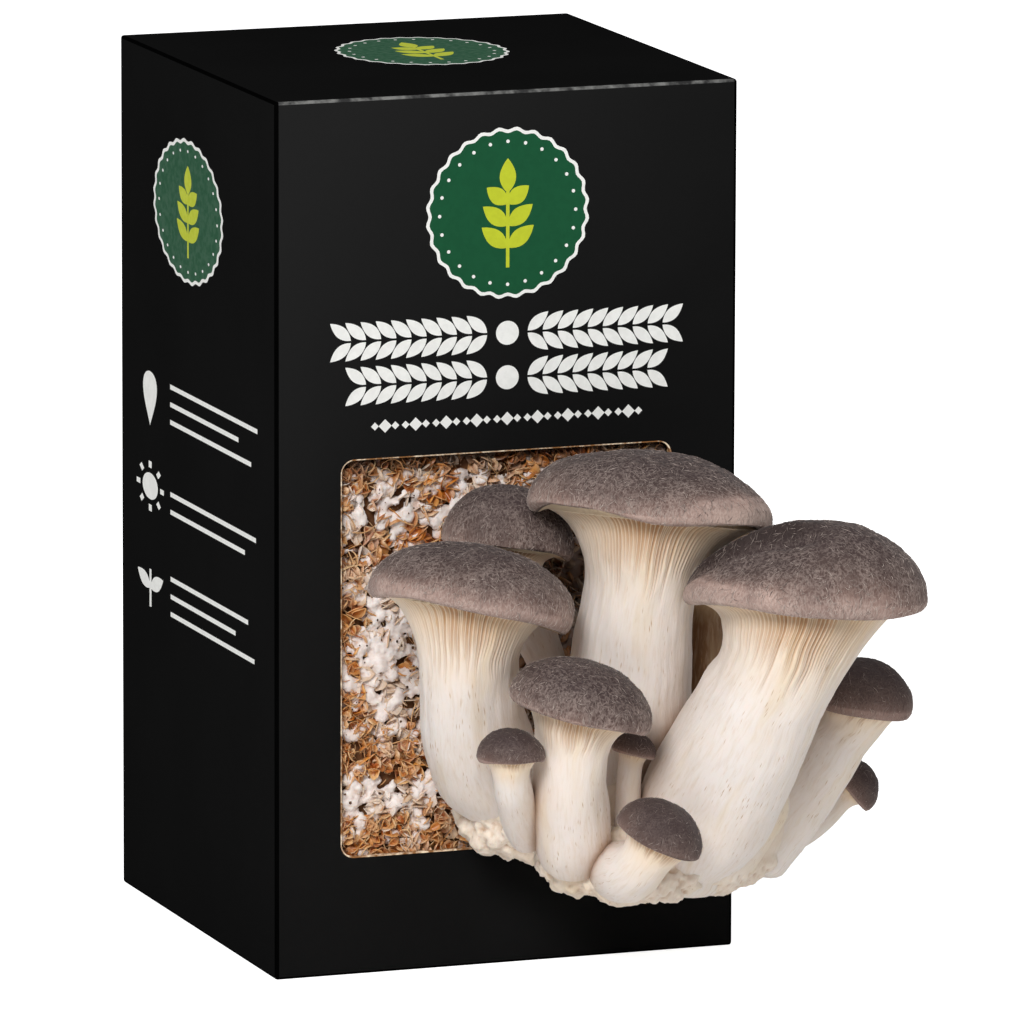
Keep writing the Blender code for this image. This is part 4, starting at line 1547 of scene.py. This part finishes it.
    def scatter_husks(self, name: str, spots: np.ndarray, seed: int, material: Material) -> None:
        """Scatters cupped husks with pale rims.

        Args:
            name: the piece's name.
            spots: their places across and up.
            seed: seed of the random draws.
            material: their material.
        """
        rng = np.random.default_rng(seed)
        rows, columns = 5, 4
        u, v = np.meshgrid(np.linspace(-1, 1, rows), np.linspace(-1, 1, columns), indexing="ij")
        brink = np.maximum(np.abs(v), np.abs(u) ** 3) ** 3
        faces = husk_faces(rows, columns)
        made = MeshParts()
        for (x, z), sunk in zip(spots, self.recess(spots)):
            size = rng.uniform(*self.husk_length)
            slim = rng.uniform(0.6, 1.05)
            half = slim * np.maximum(0.01, 1 - np.abs(u) ** 2.2) ** 0.5 * (1 - 0.2 * u)
            cup, bow = rng.uniform(0.5, 1.6), rng.uniform(-0.2, 0.6)
            shell = np.stack([half * v, u, cup * half * v**2 * 1.6 + bow * u**2], -1) * size
            normal = unit(np.cross(np.gradient(shell, axis=1), np.gradient(shell, axis=0)))
            both = np.concatenate([(shell + normal * self.husk_shell).reshape(-1, 3),
                                   (shell - normal * self.husk_shell).reshape(-1, 3)])
            tilt = Matrix.Rotation(rng.normal() * 0.55, 3, "X") @ Matrix.Rotation(
                rng.normal() * 0.55, 3, "Y") @ Matrix.Rotation(rng.uniform(0, math.tau), 3, "Z")
            turned = both @ np.array(Matrix.Rotation(math.pi / 2, 3, "X") @ tilt).T
            turned = turned + np.array([x, self.face - rng.uniform(0.6, 3.4) * (1 - 0.6 * sunk), z])
            shift = self.front - turned[:, 1].min()
            if shift > 0:
                turned[:, 1] += shift
            # painted shadow: husks that lie back are darker and their pale rims fainter
            tone = np.full(len(turned), rng.uniform() ** 1.3 * (1 - 0.7 * sunk))
            rim = np.tile(brink.ravel(), 2) * rng.uniform(0, 0.5) * (1 - 0.6 * sunk)
            made.add(turned, faces, tone=tone, rim=rim, gloom=np.full(len(turned), sunk**1.5))
        mount_piece(made.build(name, [material]), "grain_and_threads")

    def build_husks(self) -> None:
        """Scatters amber husks where the block is bare and whitened ones where it is not."""
        rng = np.random.default_rng(self.seed + 1)
        spots = self.spots(rng, self.amber_husks * 4)
        bare = self.whiteness(spots) + rng.normal(size=len(spots)) * 0.8 < 0.15
        self.scatter_husks("amber_husks", spots[bare][: self.amber_husks], self.seed + 4,
                           self.amber.build())
        spots = self.spots(rng, self.white_husks * 4)
        covered = self.whiteness(spots) + rng.normal(size=len(spots)) * 0.6 > -0.2
        self.scatter_husks("whitened_husks", spots[covered][: self.white_husks], self.seed + 5,
                           self.whitened.build())

    def build_straws(self) -> None:
        """Scatters thin curved straws and fibres over the face."""
        rng = np.random.default_rng(self.seed + 2)
        spots = self.spots(rng, self.straws * 3)
        bare = self.whiteness(spots) + rng.normal(size=len(spots)) * 0.9 < 0.1
        spots = spots[bare][: self.straws]
        count, steps = len(spots), 6
        length = rng.uniform(*self.straw_length, count)
        heading = rng.uniform(0, math.tau, count)
        turn = rng.normal(size=count) * 0.38
        place = np.stack([spots[:, 0], self.face - rng.uniform(1.2, 3.9, count), spots[:, 1]], -1)
        paths = []
        for _ in range(steps):
            paths.append(place.copy())
            stride = (length / (steps - 1))[:, None]
            lift = rng.normal(size=count) * 0.15
            place = place + stride * np.stack([np.cos(heading), lift, np.sin(heading)], -1)
            heading = heading + turn
        paths = np.stack(paths, 1)
        paths[..., 1] = np.clip(paths[..., 1], self.front + 0.2, self.face)
        ups = np.broadcast_to(np.array([0.0, -1.0, 0.0]), paths.shape)
        widths = 0.07 + 0.24 * rng.uniform(size=count) ** 2.5
        points, faces = strand_mesh(paths, ups, widths, (0.3, 0.8, 1, 1, 0.8, 0.3))
        made = MeshParts()
        made.add(points, faces, tone=np.repeat(rng.uniform(0, 1, count), steps * 3),
                 gloom=np.repeat(self.recess(spots) ** 1.5, steps * 3))
        mount_piece(made.build("straw_slivers", [self.straw.build()]), "grain_and_threads")

    def build_specks(self) -> None:
        """Scatters small dark crumbs over the face."""
        rng = np.random.default_rng(self.seed + 3)
        shape, faces = ball(1)
        made = MeshParts()
        for x, z in self.spots(rng, self.specks):
            size = rng.uniform(*self.speck_radius) * rng.uniform(0.6, 1.5, 3)
            y = max(self.front + 0.5, self.face - rng.uniform(2.0, 4.2))
            made.add(shape * size + np.array([x, y, z]), faces,
                     tone=np.full(len(shape), rng.uniform()))
        mount_piece(made.build("dark_crumbs", [self.crumb.build()]), "grain_and_threads")

    def build(self) -> None:
        """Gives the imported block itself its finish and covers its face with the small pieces."""
        core = frame["nodes"]["substrate_block"]
        core.data.materials.clear()
        core.data.materials.append(self.core.build())
        self.build_threads()
        self.build_husks()
        self.build_straws()
        self.build_specks()


def husk_faces(rows: int, columns: int) -> list[list[int]]:
    """Faces of a thin shell whose outer and inner sides are grids of the same size.

    Args:
        rows: rows of points on each side.
        columns: points in each row.

    Returns:
        The faces' point numbers.
    """
    grid, other = np.arange(rows * columns).reshape(rows, columns), rows * columns
    cells = np.stack([grid[:-1, :-1], grid[:-1, 1:], grid[1:, 1:], grid[1:, :-1]], -1).reshape(-1, 4)
    loop = np.concatenate([grid[0], grid[1:, -1], grid[-1, -2::-1], grid[-2:0:-1, 0]])
    after = np.roll(loop, -1)
    edge = np.stack([after, loop, loop + other, after + other], -1)
    return np.concatenate([cells, cells[:, ::-1] + other, edge]).tolist()


class Side(Enum):
    """The carton's printed sides: the fixed axis, its sign, and the headings right and up."""

    FRONT = ((0.0, -1.0, 0.0), (1.0, 0.0, 0.0), (0.0, 0.0, 1.0))
    LEFT = ((-1.0, 0.0, 0.0), (0.0, -1.0, 0.0), (0.0, 0.0, 1.0))
    TOP = ((0.0, 0.0, 1.0), (1.0, 0.0, 0.0), (0.0, 1.0, 0.0))


def disc(centre: Pair, width: float, height: float, scallops: int = 0,
         depth: float = 0.0, count: int = 144) -> Outline:
    """An oval, with a scalloped edge if asked.

    Args:
        centre: its middle, right and up.
        width: half its width.
        height: half its height.
        scallops: number of scallops.
        depth: how far they cut in, as a share.
        count: number of points.

    Returns:
        The outline.
    """
    turn = math.tau * np.arange(count) / count
    reach = 1 - depth * (0.5 + 0.5 * np.cos(scallops * turn)) if scallops else np.ones(count)
    return list(zip(centre[0] + width * reach * np.cos(turn), centre[1] + height * reach * np.sin(turn)))


def leaf(root: Pair, heading: float, length: float, width: float,
         squeeze: float = 1.0) -> Outline:
    """A pointed leaf.

    Args:
        root: where it starts, right and up.
        heading: which way it points, in degrees from the right.
        length: its length.
        width: half its width.
        squeeze: what widths to the right are multiplied by.

    Returns:
        The outline.
    """
    share = np.linspace(0, 1, 12)
    half = width * np.sin(np.pi * share) ** 0.85 * (1.15 - 0.3 * share)
    along = np.concatenate([share * length, share[-2:0:-1] * length])
    side = np.concatenate([half, -half[-2:0:-1]])
    c, s = math.cos(math.radians(heading)), math.sin(math.radians(heading))
    return [(root[0] + squeeze * (a * c - b * s), root[1] + a * s + b * c)
            for a, b in zip(along, side)]


def inside(outline: np.ndarray, spots: np.ndarray) -> np.ndarray:
    """Which of the spots lie inside an outline.

    Args:
        outline: its corners in order, one a row.
        spots: the places to test, one a row.

    Returns:
        True for each spot that does.
    """
    after = np.roll(outline, -1, 0)
    crosses = np.zeros(len(spots), bool)
    for (x0, y0), (x1, y1) in zip(outline, after):
        spans = (y0 > spots[:, 1]) != (y1 > spots[:, 1])
        rise = y1 - y0 if y1 != y0 else 1e-12
        crosses ^= spans & (spots[:, 0] < x0 + (spots[:, 1] - y0) * (x1 - x0) / rise)
    return crosses


def bar(left: float, right: float, low: float, high: float) -> Outline:
    """A plain upright rectangle."""
    return [(left, low), (right, low), (right, high), (left, high)]


@dataclass
class Print:
    """The printed shapes on one side of the carton, later ones over earlier ones."""

    side: Side
    level: float
    shapes: list[tuple[Outline, int]] = field(default_factory=list)

    def draw(self, outline: Outline, ink: int) -> None:
        """Adds a shape in one of the inks."""
        self.shapes.append((outline, ink))

    def seal(self, centre: Pair, width: float, height: float) -> None:
        """Draws the round green seal with its sprig.

        Args:
            centre: its middle, right and up.
            width: half its width.
            height: half its height.
        """
        squeeze = width / height
        self.draw(disc(centre, width, height, 28, 0.035, 168), 0)
        self.draw(disc(centre, width - 1.1 * squeeze, height - 1.1, 28, 0.035, 168), 1)
        x, y = centre
        size = height / 26
        for k in range(24):
            turn = math.tau * k / 24
            self.draw(disc((x + width * 0.83 * math.cos(turn), y + height * 0.83 * math.sin(turn)),
                           0.55 * size * squeeze, 0.55 * size, count=10), 0)
        stalk = 0.55 * size * squeeze
        self.draw(bar(x - stalk, x + stalk, y - 16.5 * size, y + 8 * size), 2)
        for k, reach in enumerate((10.5, 10.0, 8.5)):
            low = y - 10.5 * size + k * 6.6 * size
            for heading in (38, 142):
                self.draw(leaf((x, low), heading, reach * size, 2.5 * size, squeeze), 2)
        self.draw(leaf((x, y + 6.0 * size), 90, 10.5 * size, 2.6 * size, squeeze), 2)

    def garland(self, low: float, high: float, half_width: float, pitch: float) -> None:
        """Draws a band of leaf pairs that point away from a disc in its middle.

        Args:
            low: the band's lower edge.
            high: its upper edge.
            half_width: half its length.
            pitch: distance between pairs of leaves.
        """
        middle = (low + high) / 2
        reach = (high - low) / 2
        self.draw(disc((0, middle), reach * 0.62, reach * 0.62, count=32), 0)
        count = int((half_width - reach) / pitch)
        for k in range(count):
            x = reach * 1.1 + k * pitch
            for side in (1, -1):
                for tip in (1, -1):
                    heading = 40 * tip if side > 0 else 180 - 40 * tip
                    self.draw(leaf((side * x, middle + 0.35 * tip), heading, reach * 1.45,
                                   reach * 0.30), 0)

    def build(self, name: str, inks: Sequence[Material]) -> None:
        """Cuts the shapes into faces of one ink each and makes the thin printed layer.

        Args:
            name: the piece's name.
            inks: the inks, in the order that the shapes count them.
        """
        points, loops = [], []
        for outline, _ in self.shapes:
            loops.append([len(points) + i for i in range(len(outline))])
            points.extend(Vector(p) for p in outline)
        flat, _, faces = geometry.delaunay_2d_cdt(points, [], loops, 1, 1e-5)[:3]
        out, right, up = (np.array(v) for v in self.side.value)
        spread = np.array([[p.x, p.y] for p in flat])
        middles = np.array([spread[list(f)].mean(0) for f in faces])
        picked = np.full(len(faces), -1)
        for outline, ink in self.shapes:
            picked[inside(np.array(outline), middles)] = ink
        skin = out * self.level + spread[:, :1] * right + spread[:, 1:] * up
        made = MeshParts()
        for ink in range(len(inks)):
            chosen = [tuple(f) for f, found in zip(faces, picked) if found == ink]
            if not chosen:
                continue
            used = sorted({v for f in chosen for v in f})
            number = {v: i for i, v in enumerate(used)}
            upper = [tuple(number[v] for v in f) for f in chosen]
            sample = [Vector(skin[used[i]]) for i in upper[0]]
            if geometry.normal(sample).dot(Vector(out)) < 0:
                upper = [f[::-1] for f in upper]
            count = len(used)
            lower = [tuple(v + count for v in f[::-1]) for f in upper]
            sides = {(a, b) for f in upper for a, b in zip(f, f[1:] + f[:1])}
            walls = [(b, a, a + count, b + count) for a, b in sides if (b, a) not in sides]
            body = np.concatenate([skin[used], skin[used] - out * 0.09])
            made.add(body, upper + lower + walls, slot=ink)
        mount_piece(made.build(name, inks, smooth=False), "black_board")


class Panel(Enum):
    """The parts of the folded board that have finishes of their own."""

    FRONT = "front"
    FOLD = "fold"
    WORN_FOLD = "worn fold"
    SIDE = "side"
    LID = "lid"


# front, side and lid are one black board: their greys differ only as painted light and shade, the side a
# little darker than the front and the lid darkest, with a painted light on the front's upper left
BOARDS = {
    Panel.FRONT: Board("black_board_front", grey(20), grey(24), painted_light_upper_left=grey(32)),
    # painted shade: the rounded folds are made near black, darker than the flat sides
    Panel.FOLD: Board("black_board_fold_painted_shade", grey(2), grey(5)),
    # painted highlight with real wear: the fold over the front is lighter than the board, with scuffs of
    # wear over it
    Panel.WORN_FOLD: Board("black_board_worn_highlit_fold", grey(44), grey(58), linear(122, 122, 120)),
    Panel.SIDE: Board("black_board_side_painted_shade", grey(19), grey(22)),
    Panel.LID: Board("black_board_lid_painted_shade", grey(16), grey(19)),
}
INKS = (Ink("white_ink", linear(240, 240, 236)), Ink("green_ink", linear(8, 78, 46)),
        Ink("yellow_green_ink", linear(190, 200, 44)))


@dataclass(frozen=True)
class Carton:
    """The folded board with its window, cut edges and printed sides."""

    half: float = 74.95
    height: float = 271.95
    board: float = 1.5
    liner: float = 0.28
    fold: float = 1.1
    window_half: float = 53.5
    window_low: float = 37.0
    window_high: float = 160.4
    window_corner: float = 4.0
    edge_width: float = 0.42
    edge_depth: float = 0.14
    ink: float = 0.04
    front_seal: tuple[Pair, float, float] = ((0.0, 234.3), 26.6, 26.6)
    side_seal: tuple[Pair, float, float] = ((-8.2, 225.8), 34.0, 22.8)
    lid_seal: tuple[Pair, float, float] = ((3.0, 11.5), 27.0, 30.0)
    garlands: tuple[tuple[float, ...], ...] = ((191.2, 203.2, 55.0, 4.9), (177.4, 189.4, 53.5, 4.9))
    beads: int = 27
    bead_pitch: float = 3.3
    bead_height: float = 170.6
    bead_sizes: Triple = (2.1, 1.25, 1.25)
    signs_at: float = -46.0
    drop_height: float = 161.0
    sun_height: float = 133.0
    sprout_height: float = 100.5
    rules_from: float = -26.0
    rule_pitch: float = 5.6
    rule_width: float = 1.5
    rules: tuple[tuple[float, tuple[float, ...]], ...] = (
        (156.0, (78, 66, 84)), (127.5, (72, 82.5)), (95.0, (81, 63, 75)))

    def box(self, low: Sequence[float], high: Sequence[float]) -> Form:
        """A box between two corners.

        Args:
            low: its lowest corner.
            high: its highest corner.

        Returns:
            The box.
        """
        form = bmesh.new()
        bmesh.ops.create_cube(form, size=1.0)
        size, middle = Vector(high) - Vector(low), (Vector(high) + Vector(low)) / 2
        bmesh.ops.scale(form, vec=size * MM, verts=form.verts)
        bmesh.ops.translate(form, vec=middle * MM, verts=form.verts)
        return form

    def window(self, margin: float, near: float, far: float, mouth: float = 0.0) -> Form:
        """A prism of the window's outline.

        Args:
            margin: how much smaller it is all round.
            near: its front, along Y.
            far: its back, along Y.
            mouth: how much wider its front is than its back.

        Returns:
            The prism.
        """
        half = self.window_half - margin
        form = self.box((-half, near, self.window_low + margin), (half, far, self.window_high - margin))
        across = [e for e in form.edges if abs(e.verts[0].co.y - e.verts[1].co.y) > 1e-6]
        bmesh.ops.bevel(form, geom=across, offset=(self.window_corner - margin) * MM, segments=8,
                        profile=0.5, affect="EDGES")
        middle = (self.window_low + self.window_high) / 2 * MM
        for vertex in form.verts:
            if mouth and abs(vertex.co.y - near * MM) < 1e-6:
                vertex.co.x *= 1 + mouth / half
                widen = 1 + mouth / (middle / MM - self.window_low)
                vertex.co.z = middle + (vertex.co.z - middle) * widen
        return form

    def as_object(self, name: str, form: Form,
                  material: Material) -> Object:
        """Turns a form into an object with one material.

        Args:
            name: the object's name.
            form: the form, which is freed.
            material: its material.

        Returns:
            The object.
        """
        bmesh.ops.recalc_face_normals(form, faces=form.faces)
        mesh = bpy.data.meshes.new(name)
        form.to_mesh(mesh)
        form.free()
        mesh.materials.append(material)
        return link(bpy.data.objects.new(name, mesh))

    def panel(self, normal: Vector, centre: Vector) -> Panel:
        """Which part of the board a face of its outside belongs to.

        Args:
            normal: the face's normal.
            centre: its middle.

        Returns:
            The part.
        """
        if max(abs(c) for c in normal) <= 0.99:
            # the fold over the front takes the painted highlight and the wear
            over_front = normal.y < -0.1 and normal.z > 0.1 and abs(centre.x) < self.half - 1.5
            return Panel.WORN_FOLD if over_front else Panel.FOLD
        if abs(normal.z) > 0.99:
            return Panel.LID
        return Panel.FRONT if normal.y < -0.99 else Panel.SIDE

    def build_board(self, finishes: dict[Panel, Material], kraft: Material) -> None:
        """Builds the folded board.

        Args:
            finishes: the finish of each of its parts.
            kraft: the cut edges' finish.
        """
        half, front = self.half, -self.half
        form = self.box((-half, -half, 0), (half, half, self.height))
        upright = [e for e in form.edges if abs(e.verts[0].co.z - e.verts[1].co.z) > 1e-6]
        bmesh.ops.bevel(form, geom=upright, offset=self.fold * MM, segments=4, profile=0.5,
                        affect="EDGES")
        level = [e for e in form.edges if abs(e.verts[0].co.z - e.verts[1].co.z) < 1e-6]
        bmesh.ops.bevel(form, geom=level, offset=0.8 * self.fold * MM, segments=3, profile=0.5,
                        affect="EDGES")
        carton = self.as_object("folded_carton", form, finishes[Panel.FRONT])
        inner = half - self.board
        cutters = [
            self.box((-inner, -inner, self.board), (inner, inner, self.height - self.board)),
            self.window(0, front - 0.5, front + 3 * self.board),
            self.window(-self.edge_width, front - 0.2, front + self.edge_depth),
            self.window(-0.8, front + self.liner + self.edge_depth, front + self.board - self.liner),
        ]
        for number, cutter in enumerate(cutters):
            tool = self.as_object(f"carton_tool_{number}", cutter, kraft)
            cut = carton.modifiers.new(f"cut_{number}", "BOOLEAN")
            cut.operation, cut.solver, cut.object = "DIFFERENCE", "EXACT", tool
            cut.material_mode = "TRANSFER"
        mesh = evaluated(carton)
        for number in range(len(cutters)):
            bpy.data.objects.remove(bpy.data.objects[f"carton_tool_{number}"], do_unlink=True)
        names = [m.name for m in mesh.materials]
        for material in finishes.values():
            if material.name not in names:
                mesh.materials.append(material)
                names.append(material.name)
        for face in mesh.polygons:
            if names[face.material_index] == finishes[Panel.FRONT].name:
                found = self.panel(face.normal, face.center / MM)
                face.material_index = names.index(finishes[found].name)
        mesh.shade_smooth()
        mesh.set_sharp_from_angle(angle=math.radians(35))
        board = link(bpy.data.objects.new("folded_board", mesh))
        mount_piece(board, "black_board", "carton")

    def build_flute(self, kraft: Material) -> None:
        """Builds the wavy paper between the liners, seen in the window's cut edge.

        Args:
            kraft: its material.
        """
        corner, pitch, step = self.window_corner, 3.3, 0.3
        half, low, high = self.window_half + 0.25, self.window_low - 0.25, self.window_high + 0.25
        path = []
        for cx, cz, start in ((half - corner, high - corner, 0), (-half + corner, high - corner, 90),
                              (-half + corner, low + corner, 180), (half - corner, low + corner, 270)):
            for k in range(9):
                turn = math.radians(start + k * 90 / 8)
                path.append((cx + corner * math.cos(turn), cz + corner * math.sin(turn)))
        path = np.array(path + path[:1])
        run = distance_along(path)
        waves = round(run[-1] / pitch)
        count = int(run[-1] / step)
        along = np.arange(count) * run[-1] / count
        x, z = (np.interp(along, run, path[:, k]) for k in range(2))
        heading = unit(np.stack([np.roll(x, -1) - np.roll(x, 1), np.roll(z, -1) - np.roll(z, 1)], -1))
        outward = np.stack([heading[:, 1], -heading[:, 0]], -1)
        middle = -self.half + self.board / 2 + self.edge_depth / 2
        y = middle + 0.36 * np.sin(math.tau * waves * along / run[-1])
        thin, deep = 0.11, 0.9
        rings = np.stack([
            np.stack([x, y - thin, z], -1), np.stack([x, y + thin, z], -1),
            np.stack([x + deep * outward[:, 0], y + thin, z + deep * outward[:, 1]], -1),
            np.stack([x + deep * outward[:, 0], y - thin, z + deep * outward[:, 1]], -1)], 1)
        faces = [[corner % (4 * count) for corner in face[:1] + face[:0:-1]]
                 for face in ring_faces(count + 1, 4)]
        made = MeshParts()
        made.add(rings.reshape(-1, 3), faces)
        mount_piece(made.build("wavy_core", [kraft], smooth=False), "black_board")

    def build_prints(self, inks: Sequence[Material]) -> None:
        """Builds the printed ornaments.

        Args:
            inks: white, green and yellow-green.
        """
        front = Print(Side.FRONT, self.half + self.ink)
        front.seal(*self.front_seal)
        for garland in self.garlands:
            front.garland(*garland)
        y = self.bead_height
        for k in range(-(self.beads // 2), self.beads // 2 + 1):
            x, size = k * self.bead_pitch, self.bead_sizes[k % 3]
            front.draw([(x - size, y), (x, y - size), (x + size, y), (x, y + size)], 0)
        front.build("front_print", inks)
        left = Print(Side.LEFT, self.half + self.ink)
        left.seal(*self.side_seal)
        self.draw_signs(left)
        left.build("side_print", inks)
        lid = Print(Side.TOP, self.height + self.ink)
        lid.seal(*self.lid_seal)
        lid.build("lid_print", inks)

    def draw_signs(self, side: Print) -> None:
        """Draws a drop, a sun and a sprout under each other, with plain rules beside them.

        Args:
            side: the print to draw on.
        """
        x, y = self.signs_at, self.sun_height
        drop = [(x + 9.5 * math.sin(t) * math.sin(t / 2) ** 1.4, self.drop_height - 8.6 * math.cos(t))
                for t in np.linspace(0, math.tau, 40, endpoint=False)]
        side.draw(drop[::-1], 0)
        side.draw(disc((x, y), 7.5, 4.2, count=36), 0)
        for k in range(8):
            turn = math.tau * k / 8
            side.draw([(x + 12.5 * math.cos(turn + d) * r, y + 7.4 * math.sin(turn + d) * r)
                       for d, r in ((-0.14, 0.8), (0.14, 0.8), (0.10, 1.08), (-0.10, 1.08))], 0)
        y = self.sprout_height
        side.draw(bar(x - 0.9, x + 0.9, y - 6, y + 6), 0)
        for heading in (28, 152):
            side.draw(leaf((x, y), heading, 9.5, 2.3, 1.5), 0)
        for base, lengths in self.rules:
            for k, length in enumerate(lengths):
                low = base + self.rule_pitch * k
                side.draw(bar(self.rules_from, self.rules_from + length, low, low + self.rule_width), 0)

    def build(self) -> None:
        """Builds the board, its cut edge and its prints."""
        kraft = Kraft().build()
        self.build_board({panel: board.build() for panel, board in BOARDS.items()}, kraft)
        self.build_flute(kraft)
        self.build_prints([ink.build() for ink in INKS])


@dataclass(frozen=True)
class Studio:
    """The plain floor, the soft lights and the camera."""

    camera_at: Triple = (-1.2400165, -3.4697983, 0.8176762)
    right: Triple = (0.93933845, -0.34297886, 0.00296106)
    up: Triple = (0.06034091, 0.17374562, 0.9829402)
    lens: float = 421.875
    floor_half: float = 9.0
    aim: Triple = (0.0, -0.06, 0.13)
    lights: tuple[tuple[str, Triple, float, float], ...] = (
        ("key", (-1.6, -2.5, 2.0), 1.0, 85.0), ("fill", (2.2, -2.6, 1.2), 1.8, 4.0),
        ("over", (0.2, 0.3, 2.8), 2.0, 16.0))
    world_light: float = 0.27

    def build_floor(self) -> None:
        """Lays the floor."""
        form = bmesh.new()
        bmesh.ops.create_grid(form, x_segments=8, y_segments=8, size=self.floor_half)
        mesh = bpy.data.meshes.new("floor")
        form.to_mesh(mesh)
        form.free()
        mesh.materials.append(Paper().build())
        link(bpy.data.objects.new("floor", mesh))

    def add_light(self, name: str, place: Triple, size: float, watts: float) -> None:
        """Args:
            name: its name.
            place: where it is, in metres.
            size: its side, in metres.
            watts: its power.
        """
        light = bpy.data.lights.new(name, "AREA")
        light.size, light.energy = size, watts
        obj = link(bpy.data.objects.new(name, light))
        obj.location = place
        aim = Vector(self.aim) - Vector(place)
        obj.rotation_mode = "QUATERNION"
        obj.rotation_quaternion = aim.to_track_quat("-Z", "Y")

    def build(self) -> None:
        """Builds the whole studio."""
        self.build_floor()
        world = bpy.data.worlds.new("studio")
        world.use_nodes = True
        glow = world.node_tree.nodes["Background"].inputs
        glow["Color"].default_value, glow["Strength"].default_value = WHITE, self.world_light
        scene = bpy.context.scene
        scene.world = world
        scene.view_settings.view_transform = "Standard"
        for light in self.lights:
            self.add_light(*light)
        camera = bpy.data.cameras.new("camera")
        camera.lens, camera.sensor_width = self.lens, 36.0
        camera.clip_start, camera.clip_end = 0.1, 60.0
        obj = link(bpy.data.objects.new("camera", camera))
        back = Vector(self.right).cross(Vector(self.up))
        turned = Matrix((self.right, self.up, back)).transposed()
        obj.matrix_world = Matrix.Translation(self.camera_at) @ turned.to_4x4()
        scene.camera = obj


def main() -> None:
    logging.basicConfig(level=logging.INFO, format="%(relativeCreated)d ms: %(message)s")
    Studio().build()
    Carton().build()
    Block().build()
    skin, fine_skin = Velvet().build(), Velvet("fine_velvet_skin", 0.45, 1.6).build()
    hairs = Fibril().build()
    flesh = {tone: tone.value.build() for tone in StemTone}
    for mushroom in MUSHROOMS:
        grid, reach = mushroom.build_cap(fine_skin if mushroom.cap_radius < FINE_CAP else skin)
        mushroom.build_fibrils(grid, reach, hairs)
        mushroom.build_stem(flesh[mushroom.tone])
    ClusterFoot().build()


if __name__ == "__main__":
    main()
